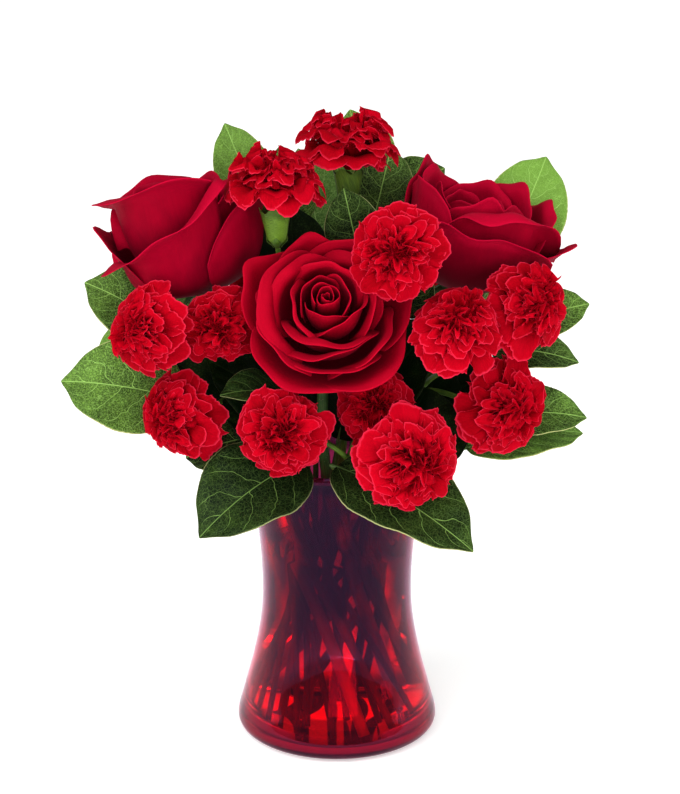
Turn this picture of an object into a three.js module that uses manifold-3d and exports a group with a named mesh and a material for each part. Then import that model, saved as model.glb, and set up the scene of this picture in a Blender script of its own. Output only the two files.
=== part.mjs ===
// A vase bouquet: three red roses, spray carnations and broad glossy leaves,
// standing in water in a flared red glass vase.
// Millimetres, +Z up, origin at the middle of the vase's foot, -Y is the front.
import * as THREE from "three";
import { mergeVertices } from "three/addons/utils/BufferGeometryUtils.js";
import Module from "manifold-3d";

const wasm = await Module();
wasm.setup();

// Vase and water
const VASE_HEIGHT = 170;
const VASE_SIDES = 28;
const WALL = 3.4;
const FLOOR_TOP = 7;
const WATER_LEVEL = 116;
const INNER_FLOOR_RADIUS = 52;
const GAP = 0.3; // between pieces that touch
// outer profile of the glass, [radius, height] from the foot to the lip
const OUTER_PROFILE = [
  [52, 0], [58.8, 2.6], [60.7, 7.5], [57.6, 20], [50.4, 47], [45.6, 74], [45.1, 100],
  [47.8, 133], [51, 163], [52.2, 167], [51.4, VASE_HEIGHT],
];
// heights at which the inner wall and the water's side turn
const INNER_HEIGHTS = [VASE_HEIGHT, 133, 100, 74, 47, 20];
const WATER_HEIGHTS = [20, 47, 74, 100, WATER_LEVEL];

// Stems
const NECK_HEIGHT = 150; // they run straight from their cut ends to this height
const HOLE_CLEARANCE = 0.45;
// rings of stems: radius at the neck, radius at the foot and twist between the two, degrees
const RINGS = {
  outer: { neck: 34, foot: 44, twist: 118 },
  middle: { neck: 20, foot: 29, twist: 108 },
  inner: { neck: 8, foot: 14, twist: 90 },
};
const STEM_SIDES = 6;
const LEAFY_STEM_SIDES = 5;
const ROSE_STEM_RADIUS = 3.2;
const SPRAY_STEM_RADIUS = 2.2;
const TWIG_RADIUS = 1.5;
const LEAFY_STEM_RADIUS = 1.7;
const STALK_RADIUS = 0.9;

// Petals and leaves
const PETAL_THICKNESS = 0.7;
const LEAF_THICKNESS = 0.8;
const LEAF_FOLD = 0.22; // how steeply its two halves rise from the midrib

const vec = (x, y, z) => new THREE.Vector3(x, y, z);
const radians = THREE.MathUtils.degToRad;
const { lerp, clamp, smoothstep } = THREE.MathUtils;

// Solids
function material(colour, roughness, extra = {}) {
  return new THREE.MeshStandardMaterial({ color: new THREE.Color(...colour), roughness, ...extra });
}

const MATERIALS = {
  glass: material([0.45, 0.0, 0.02], 0.05, { transparent: true, opacity: 0.55 }),
  water: material([0.6, 0.05, 0.06], 0.05, { transparent: true, opacity: 0.4 }),
  rose: material([0.5, 0.0, 0.02], 0.6),
  carnation: material([0.75, 0.01, 0.03], 0.7),
  stem: material([0.16, 0.3, 0.08], 0.5),
  spray: material([0.22, 0.36, 0.16], 0.6),
  leaf: material([0.08, 0.22, 0.05], 0.35),
};

// A closed BufferGeometry as a solid.
function toSolid(geometry) {
  const bare = geometry.clone();
  bare.deleteAttribute("normal");
  bare.deleteAttribute("uv");
  const merged = mergeVertices(bare, 1e-4);
  return new wasm.Manifold(new wasm.Mesh({
    numProp: 3,
    vertProperties: new Float32Array(merged.attributes.position.array),
    triVerts: new Uint32Array(merged.index.array),
  }));
}

// A solid as a BufferGeometry, with its short edges and loose scraps dropped.
function toGeometry(solid) {
  const bodies = solid.decompose();
  const whole = bodies.reduce((a, b) => (b.volume() > a.volume() ? b : a));
  const mesh = whole.getMesh();
  const geometry = new THREE.BufferGeometry();
  geometry.setAttribute("position", new THREE.BufferAttribute(new Float32Array(mesh.vertProperties), 3));
  geometry.setIndex(new THREE.BufferAttribute(new Uint32Array(mesh.triVerts), 1));
  geometry.computeVertexNormals();
  return geometry;
}

function fuse(geometries) {
  return geometries.map(toSolid).reduce((whole, next) => whole.add(next));
}

function grid(positions, faces) {
  const geometry = new THREE.BufferGeometry();
  const coordinates = positions.flatMap((p) => p.toArray());
  geometry.setAttribute("position", new THREE.Float32BufferAttribute(coordinates, 3));
  geometry.setIndex(faces.flat());
  return geometry;
}

// A thin closed blade on the mid-surface at(across, along): across runs -1 to 1 and along 0 to 1.
// Both faces are split into the same triangles.
function blade(at, columns, rows, thickness) {
  const step = 1e-3;
  const front = [];
  const back = [];
  for (let j = 0; j <= rows; j++) {
    for (let i = 0; i <= columns; i++) {
      const s = -1 + (2 * i) / columns;
      const t = j / rows;
      const across = at(Math.min(s + step, 1), t).sub(at(Math.max(s - step, -1), t));
      const along = at(s, Math.min(t + step, 1)).sub(at(s, Math.max(t - step, 0)));
      const normal = across.cross(along).normalize().multiplyScalar(thickness / 2);
      front.push(at(s, t).add(normal));
      back.push(at(s, t).sub(normal));
    }
  }
  const positions = [...front, ...back];
  const offset = front.length;
  const id = (i, j) => j * (columns + 1) + i;
  const faces = [];
  for (let j = 0; j < rows; j++) {
    for (let i = 0; i < columns; i++) {
      const [a, b, c, d] = [id(i, j), id(i + 1, j), id(i + 1, j + 1), id(i, j + 1)];
      const flip = (i < columns / 2) === (j % 2 === 0);
      const pair = flip ? [[a, b, c], [a, c, d]] : [[a, b, d], [b, c, d]];
      for (const [p, q, r] of pair) {
        faces.push([p, q, r], [p + offset, r + offset, q + offset]);
      }
    }
  }
  const rim = [];
  for (let i = 0; i < columns; i++) rim.push(id(i, 0));
  for (let j = 0; j < rows; j++) rim.push(id(columns, j));
  for (let i = columns; i > 0; i--) rim.push(id(i, rows));
  for (let j = rows; j > 0; j--) rim.push(id(0, j));
  rim.forEach((a, k) => {
    const b = rim[(k + 1) % rim.length];
    faces.push([a, a + offset, b], [b, a + offset, b + offset]);
  });
  return grid(positions, faces);
}

// A closed tube with its own radius at each point. A toothed end raises every other corner of the last
// ring, and a hollow end sinks its middle.
function sweep(points, radii, sides, { tooth = 0, hollow = 0 } = {}) {
  const rings = [];
  let side = null;
  points.forEach((point, k) => {
    const before = points[Math.max(k - 1, 0)];
    const after = points[Math.min(k + 1, points.length - 1)];
    const along = after.clone().sub(before).normalize();
    if (!side) side = Math.abs(along.z) > 0.9 ? vec(1, 0, 0) : vec(0, 0, 1);
    side = side.clone().addScaledVector(along, -side.dot(along)).normalize();
    const up = along.clone().cross(side);
    const last = k === points.length - 1;
    const ring = [];
    for (let i = 0; i < sides; i++) {
      const angle = (2 * Math.PI * i) / sides;
      const raised = last && i % 2 ? tooth : 0;
      ring.push(point.clone()
        .addScaledVector(side, radii[k] * Math.cos(angle))
        .addScaledVector(up, radii[k] * Math.sin(angle))
        .addScaledVector(along, raised));
    }
    rings.push({ ring, along });
  });
  const positions = rings.flatMap((r) => r.ring);
  const first = positions.push(points[0].clone()) - 1;
  const tip = points[points.length - 1].clone().addScaledVector(rings[rings.length - 1].along, -hollow);
  const last = positions.push(tip) - 1;
  const faces = [];
  for (let k = 0; k + 1 < points.length; k++) {
    for (let i = 0; i < sides; i++) {
      const a = k * sides + i;
      const b = k * sides + ((i + 1) % sides);
      faces.push([a, b, b + sides], [a, b + sides, a + sides]);
    }
  }
  const top = (points.length - 1) * sides;
  for (let i = 0; i < sides; i++) {
    const next = (i + 1) % sides;
    faces.push([first, next, i], [last, top + i, top + next]);
  }
  return grid(positions, faces);
}

// Vase and water
function outerRadius(z) {
  const above = OUTER_PROFILE.findIndex(([, height]) => height >= z);
  const [r1, z1] = OUTER_PROFILE[above];
  const [r0, z0] = OUTER_PROFILE[Math.max(above - 1, 0)];
  return z1 === z0 ? r1 : lerp(r0, r1, (z - z0) / (z1 - z0));
}

function lathe(profile) {
  return new THREE.LatheGeometry(profile.map(([r, z]) => new THREE.Vector2(r, z)), VASE_SIDES)
    .rotateX(Math.PI / 2);
}

function vase() {
  const inner = INNER_HEIGHTS.map((z) => [outerRadius(z) - WALL, z]);
  const floor = [[INNER_FLOOR_RADIUS, FLOOR_TOP], [0, FLOOR_TOP]];
  return toSolid(lathe([[0, 0], ...OUTER_PROFILE, ...inner, ...floor]));
}

function water(stemSolids) {
  const floor = FLOOR_TOP + GAP;
  const walls = WATER_HEIGHTS.map((z) => [outerRadius(z) - WALL - GAP, z]);
  const body = toSolid(lathe([[0, floor], [INNER_FLOOR_RADIUS - GAP, floor], ...walls, [0, WATER_LEVEL]]));
  return stemSolids.reduce((left, stem) => left.subtract(stem), body);
}

// Stems
// The cut end and the neck point of a stem of a radius at an azimuth on one of the rings. The cut end is
// just clear of the glass.
function inVase([ring, azimuth], radius) {
  const { neck, foot, twist } = RINGS[ring];
  const at = (distance, degrees, z) =>
    vec(distance * Math.cos(radians(degrees)), distance * Math.sin(radians(degrees)), z);
  const top = at(neck, azimuth, NECK_HEIGHT);
  const end = at(foot, azimuth + twist, FLOOR_TOP + GAP);
  const along = top.clone().sub(end).normalize();
  end.z += radius * Math.hypot(along.x, along.y);
  return { foot: end, neck: top, along };
}

// Points of a curve that leaves start along one direction and reaches end along another.
function bend(start, out, end, into, steps) {
  const reach = start.distanceTo(end) * 0.38;
  const curve = new THREE.CubicBezierCurve3(
    start,
    start.clone().addScaledVector(out, reach),
    end.clone().addScaledVector(into, -reach),
    end,
  );
  return curve.getPoints(steps);
}

// From the cut end, straight to the neck, and on to a place along a direction.
function stemPath(place, radius, end, into, steps) {
  const { foot, neck, along } = inVase(place, radius);
  return [foot, ...bend(neck, along, end, into, steps)];
}

function hole(place, radius, sides = STEM_SIDES) {
  const { foot, neck, along } = inVase(place, radius);
  const below = foot.clone().addScaledVector(along, -2 * radius - 2);
  const wide = (radius + HOLE_CLEARANCE) / Math.cos(Math.PI / sides);
  return toSolid(sweep([below, neck], [wide, wide], sides));
}

// Heads
// Turns a point given across, up and along a head's axis into the bouquet's frame.
function headFrame(centre, axis, spin = 0) {
  const along = axis.clone().normalize();
  const side = vec(0, 0, 1).cross(along).normalize();
  const up = along.clone().cross(side);
  const frame = new THREE.Matrix4().makeBasis(side, up, along).setPosition(centre);
  return frame.multiply(new THREE.Matrix4().makeRotationZ(radians(spin)));
}

function quadratic(a, b, c, t) {
  return (1 - t) * (1 - t) * a + 2 * t * (1 - t) * b + t * t * c;
}

function cubic([a, b, c, d], t) {
  const u = 1 - t;
  return u * u * u * a + 3 * u * u * t * b + 3 * u * t * t * c + t * t * t * d;
}

// Carnation heads
const CARNATION_COLUMNS = 20;
// Layers of ruffled petals from the outside in, as shares of the head's radius: the groove that a layer
// rises from and its rim, each [distance from the axis, height], and how far the rim's ruffle swings.
const CARNATION_LAYERS = [
  { petals: 5, turn: 0, groove: [0, 0], rim: [1.08, 0.22], swing: 0.08 },
  { petals: 5, turn: 2, groove: [0.22, 0.3], rim: [0.86, 0.62], swing: 0.085 },
  { petals: 4, turn: 1, groove: [0.15, 0.5], rim: [0.46, 0.94], swing: 0.07 },
];
const CARNATION_MIDDLE = 0.66;
const NECK_RADIUS = 6; // of the pinched petals in the calyx's mouth
const NECK_RISE = 1;
const SOCKET_DEPTH = 4.2;

const CALYX_LENGTH = 22;
const CALYX_BASE = 4.6; // its radius at the twig's end and at its mouth
const CALYX_RADIUS = 8.2;
const CALYX_RIM = 2.5; // the calyx's rim below the head's base
const TOOTH = 3.2;

// Head of ruffled petals. Each layer's rim is notched between its petals and toothed along them, and the
// layers are one skin that folds in and out, from the pinched neck to the middle.
function carnationHead(frame, radius, variety) {
  const n = CARNATION_COLUMNS;
  const rows = [() => [NECK_RADIUS, NECK_RISE]];
  for (const { petals, turn, groove, rim, swing } of CARNATION_LAYERS) {
    const columns = n / petals;
    const rise = Math.atan2(rim[1] - groove[1], rim[0] - groove[0]);
    const edge = (side) => (i) => {
      const along = (i + turn) % columns;
      const petal = Math.floor(((i + turn) % n) / columns);
      const notch = along === 0 ? 0.78 : 1 - (along % 2 ? 0 : 0.05);
      const sign = along === 0 ? 0 : (along % 2 ? 1 : -1) * ((petal + variety) % 2 ? 1 : 0.55);
      const off = side * PETAL_THICKNESS / 2 + sign * swing * radius;
      const out = lerp(groove[0], rim[0], notch) * radius;
      const high = lerp(groove[1], rim[1], notch) * radius;
      return [out - off * Math.sin(rise), high + off * Math.cos(rise)];
    };
    if (groove[0]) rows.push(() => [groove[0] * radius, groove[1] * radius]);
    rows.push(edge(-1), edge(1));
  }
  const positions = [];
  for (const row of rows) {
    for (let i = 0; i < n; i++) {
      const angle = (2 * Math.PI * i) / n;
      const [out, high] = row(i);
      positions.push(vec(out * Math.cos(angle), out * Math.sin(angle), high));
    }
  }
  const bottom = positions.push(vec(0, 0, -SOCKET_DEPTH)) - 1;
  const top = positions.push(vec(0, 0, CARNATION_MIDDLE * radius)) - 1;
  const faces = [];
  for (let i = 0; i < n; i++) {
    const next = (i + 1) % n;
    faces.push([bottom, next, i]);
    for (let k = 0; k + 1 < rows.length; k++) {
      const [a, b] = [k * n + i, k * n + next];
      faces.push([a, b, b + n], [a, b + n, a + n]);
    }
    faces.push([top, (rows.length - 1) * n + i, (rows.length - 1) * n + next]);
  }
  return toSolid(grid(positions, faces).applyMatrix4(frame));
}

// Rose heads
// A spiral of petals in the middle: [start, end] of its distance from the axis at the root, the belly and
// the lip, and of the lip's height.
// Whorls round it: distance and height are the four Bezier values of a petal's profile from root to tip,
// angle is half the angle that it spans, and skew slides one edge out and the other in, so that petals
// overlap without touching. point is how far the tip stands out, and roll turns the side edges outwards.
const ROSE_FORMS = {
  open: {
    spiral: { turns: 2.2, root: [2, 8], belly: [3, 22], lip: [2.4, 17.5], height: [48, 44] },
    whorls: [
      {
        count: 4, turn: 40, distance: [7, 22, 21, 27], height: [2, 8, 30, 43],
        angle: 50, skew: 0.06, point: 0.05, roll: 1.5, columns: 3, rows: 2,
      },
      {
        count: 5, turn: 50, distance: [7.5, 31, 26, 39], height: [1.5, 6, 32, 34],
        angle: 41, skew: 0.05, point: 0.09, roll: 2, columns: 4, rows: 2,
      },
      {
        count: 5, turn: 14, distance: [8, 38, 36, 48], height: [1, 3, 24, 20],
        angle: 38, skew: 0.05, point: 0.11, roll: 2, columns: 4, rows: 2,
      },
    ],
  },
  cupped: {
    spiral: { turns: 2.2, root: [2, 8], belly: [3, 29], lip: [2.6, 23], height: [66, 63] },
    whorls: [
      {
        count: 4, turn: 40, distance: [7, 44, 28, 38], height: [2, 8, 46, 68],
        angle: 51, skew: 0.05, point: 0.05, roll: 1.5, columns: 3, rows: 3,
      },
      {
        count: 5, turn: 84, distance: [8, 50, 40, 48], height: [1, 3, 34, 42],
        angle: 41, skew: 0.045, point: 0.1, roll: 2, columns: 4, rows: 3,
      },
    ],
  },
  relaxed: {
    spiral: { turns: 2.2, root: [2, 8], belly: [3, 30], lip: [2.6, 26], height: [64, 61] },
    whorls: [
      {
        count: 4, turn: 40, distance: [7, 44, 31, 42], height: [2, 8, 46, 70],
        angle: 51, skew: 0.05, point: 0.05, roll: 1.5, columns: 3, rows: 3,
      },
      {
        count: 5, turn: 84, distance: [8, 48, 56, 52], height: [1, 5, 58, 28],
        angle: 41, skew: 0.045, point: 0.1, roll: 2, columns: 4, rows: 3,
      },
    ],
  },
};

function rosePetal({ distance, height, angle, skew, point, roll }, azimuth) {
  return (s, t) => {
    const side = Math.abs(s);
    const u = t * (1 - point * (1 - Math.exp(-(s * s) / 0.06)) - 0.18 * Math.pow(side, 2.6));
    const spread = 0.4 + 0.6 * smoothstep(u, 0, 0.45);
    const edge = roll * Math.pow(side, 3) * Math.pow(u, 4);
    const rho = cubic(distance, u) * (1 + skew * s) + edge;
    const phi = azimuth + s * radians(angle) * spread;
    return vec(rho * Math.cos(phi), rho * Math.sin(phi), cubic(height, u) - 0.6 * edge);
  };
}

function roseSpiral({ turns, root, belly, lip, height }) {
  return (s, t) => {
    const q = (s + 1) / 2;
    const phi = 2 * Math.PI * turns * q;
    const rho = quadratic(lerp(...root, q), lerp(...belly, q), lerp(...lip, q), t);
    const top = lerp(...height, q) + 1.4 * Math.sin(1.5 * phi);
    return vec(rho * Math.cos(phi), rho * Math.sin(phi), lerp(2, top, t));
  };
}

// Head of petals in whorls round a spiral. Its base is at the frame's origin.
function roseHead(frame, form) {
  const { spiral, whorls } = ROSE_FORMS[form];
  const core = sweep([vec(0, 0, 0), vec(0, 0, 3), vec(0, 0, 8)], [6.5, 10, 9], 6);
  const parts = [core, blade(roseSpiral(spiral), 16, 2, PETAL_THICKNESS)];
  for (const whorl of whorls) {
    for (let i = 0; i < whorl.count; i++) {
      const azimuth = radians(whorl.turn + (360 * i) / whorl.count);
      parts.push(blade(rosePetal(whorl, azimuth), whorl.columns, whorl.rows, PETAL_THICKNESS));
    }
  }
  return fuse(parts.map((part) => part.applyMatrix4(frame)));
}

// Stem, and a small hip under the head with five narrow green sepals bent down from it.
function roseStem(place, base, axis, frame) {
  const back = (distance) => base.clone().addScaledVector(axis, -distance);
  const path = stemPath(place, ROSE_STEM_RADIUS, back(10), axis, 4);
  const radii = path.map(() => ROSE_STEM_RADIUS);
  path.push(back(6), back(GAP));
  radii.push(5.8, 6.6);
  const parts = [sweep(path, radii, STEM_SIDES)];
  for (let i = 0; i < 5; i++) {
    const sepal = (s, t) => {
      const rho = lerp(3, 16, t);
      const across = 3.2 * s * (1 - 0.85 * t);
      return vec(rho, across, -2.6 - 11 * t * t);
    };
    const turned = frame.clone().multiply(new THREE.Matrix4().makeRotationZ(radians(72 * i + 20)));
    parts.push(blade(sepal, 1, 2, LEAF_THICKNESS).applyMatrix4(turned));
  }
  return fuse(parts);
}

// Leaves
// A broad leaf from base to tip, with its upper side facing a given way. It is folded along its midrib,
// arched, waved along its edges and pointed at the end.
function leafSurface({ base, tip, face, width, arch }) {
  const along = tip.clone().sub(base);
  const length = along.length();
  along.normalize();
  const side = along.clone().cross(face).normalize();
  const up = side.clone().cross(along);
  return (s, t) => {
    const outline = Math.pow(Math.max(0, Math.sin(Math.PI * Math.pow(t, 0.82))), 0.64);
    const half = 0.5 * width * outline * (1 - 0.35 * smoothstep(t, 0.86, 1)) + lerp(0.6, 0.5, t);
    const wave = 0.03 * width * Math.sin(9 * t + 2) * s * s * Math.sin(Math.PI * t);
    const lift = LEAF_FOLD * half * Math.abs(s) + wave + arch * length * (0.81 - 4 * (t - 0.45) * (t - 0.45));
    return base.clone()
      .addScaledVector(along, length * t)
      .addScaledVector(side, s * half)
      .addScaledVector(up, lift);
  };
}

// The last stretch of a stalk, along the leaf's midrib.
function midrib(leaf) {
  const surface = leafSurface(leaf);
  return [surface(0, 0), surface(0, 0.035)];
}

// A woody stem that ends in its last leaf. The others grow from it on short stalks, each from its share of
// the way up.
function leafyStem(place, leaves) {
  const end = leaves.at(-1);
  const rib = midrib(end);
  const into = rib[1].clone().sub(rib[0]).normalize();
  const path = [...stemPath(place, LEAFY_STEM_RADIUS, rib[0], into, 4), rib[1]];
  const narrowing = (k) => Math.max(0, k - 1) / (path.length - 2);
  const radii = path.map((_, k) => lerp(LEAFY_STEM_RADIUS, STALK_RADIUS, narrowing(k)));
  const parts = [sweep(path, radii, LEAFY_STEM_SIDES)];
  for (const each of leaves) {
    parts.push(blade(leafSurface(each), 2, each.width > 42 ? 7 : 5, LEAF_THICKNESS));
    if (each === end) continue;
    const [start, next] = midrib(each);
    const joint = path[each.from];
    const out = start.clone().sub(joint).normalize();
    const stalk = [...bend(joint, out, start, next.clone().sub(start).normalize(), 2), next];
    parts.push(sweep(stalk, stalk.map(() => STALK_RADIUS), 4));
  }
  return fuse(parts);
}

// Carnation sprays
// A twig that swells into the calyx under a head, with a toothed mouth.
function twig(start, out, { mouth, axis }) {
  const back = (distance) => mouth.clone().addScaledVector(axis, -distance);
  const path = bend(start, out, back(CALYX_LENGTH), axis, 2);
  const radii = path.map(() => TWIG_RADIUS);
  path.push(back(CALYX_LENGTH - 2.5), back(CALYX_RIM));
  radii.push(CALYX_BASE, CALYX_RADIUS);
  return sweep(path, radii, STEM_SIDES, { tooth: TOOTH, hollow: SOCKET_DEPTH + 0.6 - CALYX_RIM });
}

// One stem that forks into a twig for each head.
function spray({ place, fork, rise = 0.6 }, heads) {
  const middle = heads.reduce((sum, head) => sum.add(head.mouth), vec(0, 0, 0)).divideScalar(heads.length);
  const into = middle.sub(fork).normalize().add(vec(0, 0, rise)).normalize();
  const path = stemPath(place, SPRAY_STEM_RADIUS, fork, into, 4);
  const parts = [sweep(path, path.map(() => SPRAY_STEM_RADIUS), STEM_SIDES)];
  for (const head of heads) parts.push(twig(fork.clone().addScaledVector(into, -2), into, head));
  return fuse(parts);
}

// The bouquet
// Carnation heads: middle of the head, the way that it faces and its radius.
const CARNATIONS = {
  top: { at: [7, 17, 347], faces: [0.02, 0.12, 1], radius: 29 },
  top_left: { at: [-34, -42, 332], faces: [-0.05, -0.12, 1], radius: 27.5 },
  top_right: { at: [31, -82, 301], faces: [-0.2, -0.95, 0.12], radius: 26 },
  left: { at: [-103, -59, 256], faces: [-0.48, -0.86, 0.15], radius: 24 },
  left_inner: { at: [-64, -47, 256], faces: [0.05, -0.98, 0.12], radius: 22 },
  right_inner: { at: [64, -84, 262], faces: [0.05, -0.75, 0.62], radius: 25 },
  right: { at: [104, -57, 269], faces: [0.5, -0.8, 0.35], radius: 26 },
  low_left: { at: [-88, -52, 206], faces: [-0.5, -0.86, 0.05], radius: 24.5 },
  low_middle_left: { at: [-29, -88, 207], faces: [-0.12, -0.96, 0.2], radius: 24.5 },
  low_middle: { at: [20, -60, 215], faces: [0, -0.97, 0.25], radius: 23 },
  low_middle_right: { at: [39, -100, 195], faces: [0.22, -0.97, 0.1], radius: 29.5 },
  low_right: { at: [92, -62, 213], faces: [0.42, -0.88, 0.12], radius: 26.5 },
  back_left: { at: [-46, 78, 262], faces: [-0.4, 0.85, 0.5], radius: 26 },
  back_right: { at: [48, 74, 272], faces: [0.45, 0.82, 0.55], radius: 26 },
};
const HEAD_DEPTH = 0.42; // from a head's base to its middle, as a share of its radius

// Sprays: the place in the vase, where the stem forks, how much it rises there and the heads it carries.
const SPRAYS = {
  left: { place: ["outer", 196], fork: [-50, -10, 212], heads: ["left", "left_inner", "low_left"] },
  top: { place: ["inner", 80], fork: [6, 8, 240], heads: ["top", "top_left", "top_right"] },
  right: { place: ["outer", -14], fork: [46, -10, 208], heads: ["right_inner", "right", "low_right"] },
  front: {
    place: ["outer", -88], fork: [6, -36, 176], rise: 0,
    heads: ["low_middle_left", "low_middle", "low_middle_right"],
  },
  back: { place: ["middle", 92], fork: [2, 42, 206], heads: ["back_left", "back_right"] },
};

// Roses: base of the head, the way that it faces and how open it is.
const ROSES = {
  left: {
    base: [-79, 2, 269], faces: [-0.2, -0.18, 0.97], form: "cupped", spin: 15, place: ["outer", 172],
  },
  middle: {
    base: [-6, -46, 254], faces: [0.02, -0.82, 0.57], form: "open", spin: 0, place: ["middle", -100],
  },
  right: {
    base: [68, 15, 269], faces: [0.25, -0.17, 0.95], form: "relaxed", spin: 200, place: ["outer", 14],
  },
};

// A leaf from its base to its tip, with its upper side facing a given way. from is the bend of the stem
// that it grows from.
function leaf(base, tip, face, width, { from = null, arch = 0.1 } = {}) {
  return { base: vec(...base), tip: vec(...tip), face: vec(...face), width, from, arch };
}

// Leafy stems: the place in the vase and the leaves, the last of which ends the stem.
const LEAFY_STEMS = {
  low_left: { place: ["outer", 222], leaves: [
    leaf([-19, -52, 180], [-74, -90, 150], [-0.35, -0.75, 0.55], 58, { from: 3 }),
    leaf([-50, -38, 190], [-86, -36, 178], [-0.2, -0.8, 0.5], 32, { from: 3 }),
    leaf([-31, -28, 183], [-64, -29, 210], [0.1, -0.5, 0.6], 40, { from: 2 }),
    leaf([-88, -14, 206], [-158, -18, 219], [0.1, -0.8, 0.5], 56),
  ] },
  front_left: { place: ["middle", 210], leaves: [
    leaf([-17, -21, 191], [-73, -25, 233], [0.1, -0.95, 0.65], 41, { from: 2 }),
    leaf([-24, -46, 214], [-62, -72, 224], [0, -0.5, 0.85], 30),
  ] },
  front_right: { place: ["middle", -30], leaves: [
    leaf([21, -24, 200], [60, -26, 252], [-0.35, -0.6, 0.45], 40, { from: 2 }),
    leaf([38, -32, 258], [47, -38, 290], [0, -1, 0.2], 24),
  ] },
  low_right: { place: ["outer", 296], leaves: [
    leaf([24, -30, 184], [74, -36, 206], [0, -0.8, 0.6], 40, { from: 2 }),
    leaf([0, -55, 178], [73, -99, 145], [0.3, -0.5, 0.55], 58, { arch: 0.06 }),
  ] },
  left: { place: ["outer", 150], leaves: [
    leaf([-64, 26, 206], [-114, 42, 198], [-0.4, 0.2, 0.9], 40, { from: 3 }),
    leaf([-110, 26, 234], [-146, 28, 220], [-0.4, -0.7, 0.6], 30, { from: 4 }),
    leaf([-42, 10, 193], [-98, -5, 235], [-0.15, -1, 0.25], 42, { from: 2 }),
    leaf([-102, 22, 242], [-148, 18, 270], [-0.1, -0.8, 0.6], 44),
  ] },
  top_left: { place: ["middle", 130], leaves: [
    leaf([-24, 4, 262], [-26, -4, 318], [0, -1, 0.1], 36, { from: 4 }),
    leaf([-26, 34, 300], [-33, 34, 348], [0, -1, 0.2], 34, { from: 4 }),
    leaf([-44, 44, 308], [-67, 50, 360], [-0.1, -1, 0.2], 34),
  ] },
  top: { place: ["inner", 200], leaves: [
    leaf([-10, 0, 196], [-44, -8, 254], [0, -1, 0.1], 42, { from: 2 }),
    leaf([34, 68, 312], [66, 72, 332], [0.1, -0.9, 0.5], 34, { from: 4 }),
    leaf([20, 70, 322], [8, 70, 367], [0, -1, 0.1], 32),
  ] },
  middle: { place: ["inner", 8], leaves: [
    leaf([1, -3, 180], [13, -12, 234], [-0.3, -1.05, -0.2], 40, { from: 2 }),
    leaf([12, -14, 292], [4, -20, 328], [0, -1, 0.2], 24, { from: 4 }),
    leaf([20, 42, 296], [33, 62, 346], [0.1, -1, 0.4], 38),
  ] },
  top_right: { place: ["outer", 64], leaves: [
    leaf([100, 52, 276], [129, 74, 339], [0, -1, 0.2], 50),
  ] },
  right: { place: ["outer", 38], leaves: [
    leaf([66, 26, 208], [116, 44, 200], [0.4, 0.2, 0.9], 40, { from: 3 }),
    leaf([90, 0, 232], [140, -8, 228], [0, -0.7, 0.8], 28, { from: 4 }),
    leaf([108, 20, 245], [149, 18, 257], [0, -0.9, 0.4], 28),
  ] },
  low_right_side: { place: ["outer", 321], leaves: [
    leaf([54, -6, 191], [94, -17, 231], [0.15, -0.55, 0.6], 42, { from: 2 }),
    leaf([84, -24, 180], [143, -14, 188], [0.1, -0.6, 0.9], 34, { from: 4 }),
    leaf([92, -18, 197], [143, -24, 199], [0.1, -0.7, 0.7], 32),
  ] },
  back_left: { place: ["outer", 122], leaves: [
    leaf([-52, 56, 214], [-106, 88, 196], [-0.2, 0.6, 0.8], 50, { from: 3 }),
    leaf([-84, 50, 250], [-124, 70, 292], [-0.4, 0.8, -0.2], 42),
  ] },
  back_right: { place: ["outer", 79], leaves: [
    leaf([50, 56, 210], [100, 92, 192], [0.2, 0.6, 0.8], 50, { from: 3 }),
    leaf([76, 68, 240], [126, 86, 270], [0.4, 0.8, 0.1], 42),
  ] },
  back: { place: ["outer", 94], leaves: [
    leaf([-4, 62, 200], [-6, 114, 168], [0, 0.6, 0.8], 52, { from: 3 }),
    leaf([-10, 74, 286], [-24, 88, 342], [0, 1, 0.1], 44),
  ] },
};

const bouquet = new THREE.Group();

function addPiece(name, solid, look) {
  const mesh = new THREE.Mesh(toGeometry(solid), MATERIALS[look]);
  mesh.name = name;
  bouquet.add(mesh);
}

const holes = [];
const heads = {};
Object.entries(CARNATIONS).forEach(([name, { at, faces, radius }], k) => {
  const axis = vec(...faces).normalize();
  const mouth = vec(...at).addScaledVector(axis, -HEAD_DEPTH * radius);
  heads[name] = { mouth, axis };
  addPiece(`carnation_${name}`, carnationHead(headFrame(mouth, axis, 40 * k), radius, k), "carnation");
});

for (const [name, { place, fork, rise, heads: names }] of Object.entries(SPRAYS)) {
  const placed = { place, fork: vec(...fork), rise };
  addPiece(`carnation_spray_${name}`, spray(placed, names.map((head) => heads[head])), "spray");
  holes.push(hole(place, SPRAY_STEM_RADIUS));
}

for (const [name, { base, faces, form, spin, place }] of Object.entries(ROSES)) {
  const axis = vec(...faces).normalize();
  const frame = headFrame(vec(...base), axis, spin);
  addPiece(`rose_${name}`, roseHead(frame, form), "rose");
  addPiece(`rose_stem_${name}`, roseStem(place, vec(...base), axis, frame), "stem");
  holes.push(hole(place, ROSE_STEM_RADIUS));
}

for (const [name, { place, leaves }] of Object.entries(LEAFY_STEMS)) {
  addPiece(`leafy_stem_${name}`, leafyStem(place, leaves), "leaf");
  holes.push(hole(place, LEAFY_STEM_RADIUS, LEAFY_STEM_SIDES));
}

addPiece("vase", vase(), "glass");
addPiece("water", water(holes), "water");

export default bouquet;
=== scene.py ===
"""A vase bouquet: three red roses, spray carnations and broad glossy leaves in a flared red glass vase.

Pieces are in metres in the CAD model's frame: +Z up, the origin at the middle of the vase's foot and -Y the
front. Their sizes below are in millimetres, and the meshes are scaled by MM. The floor, the camera and the
lights are placed in metres.
"""

import math

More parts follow.
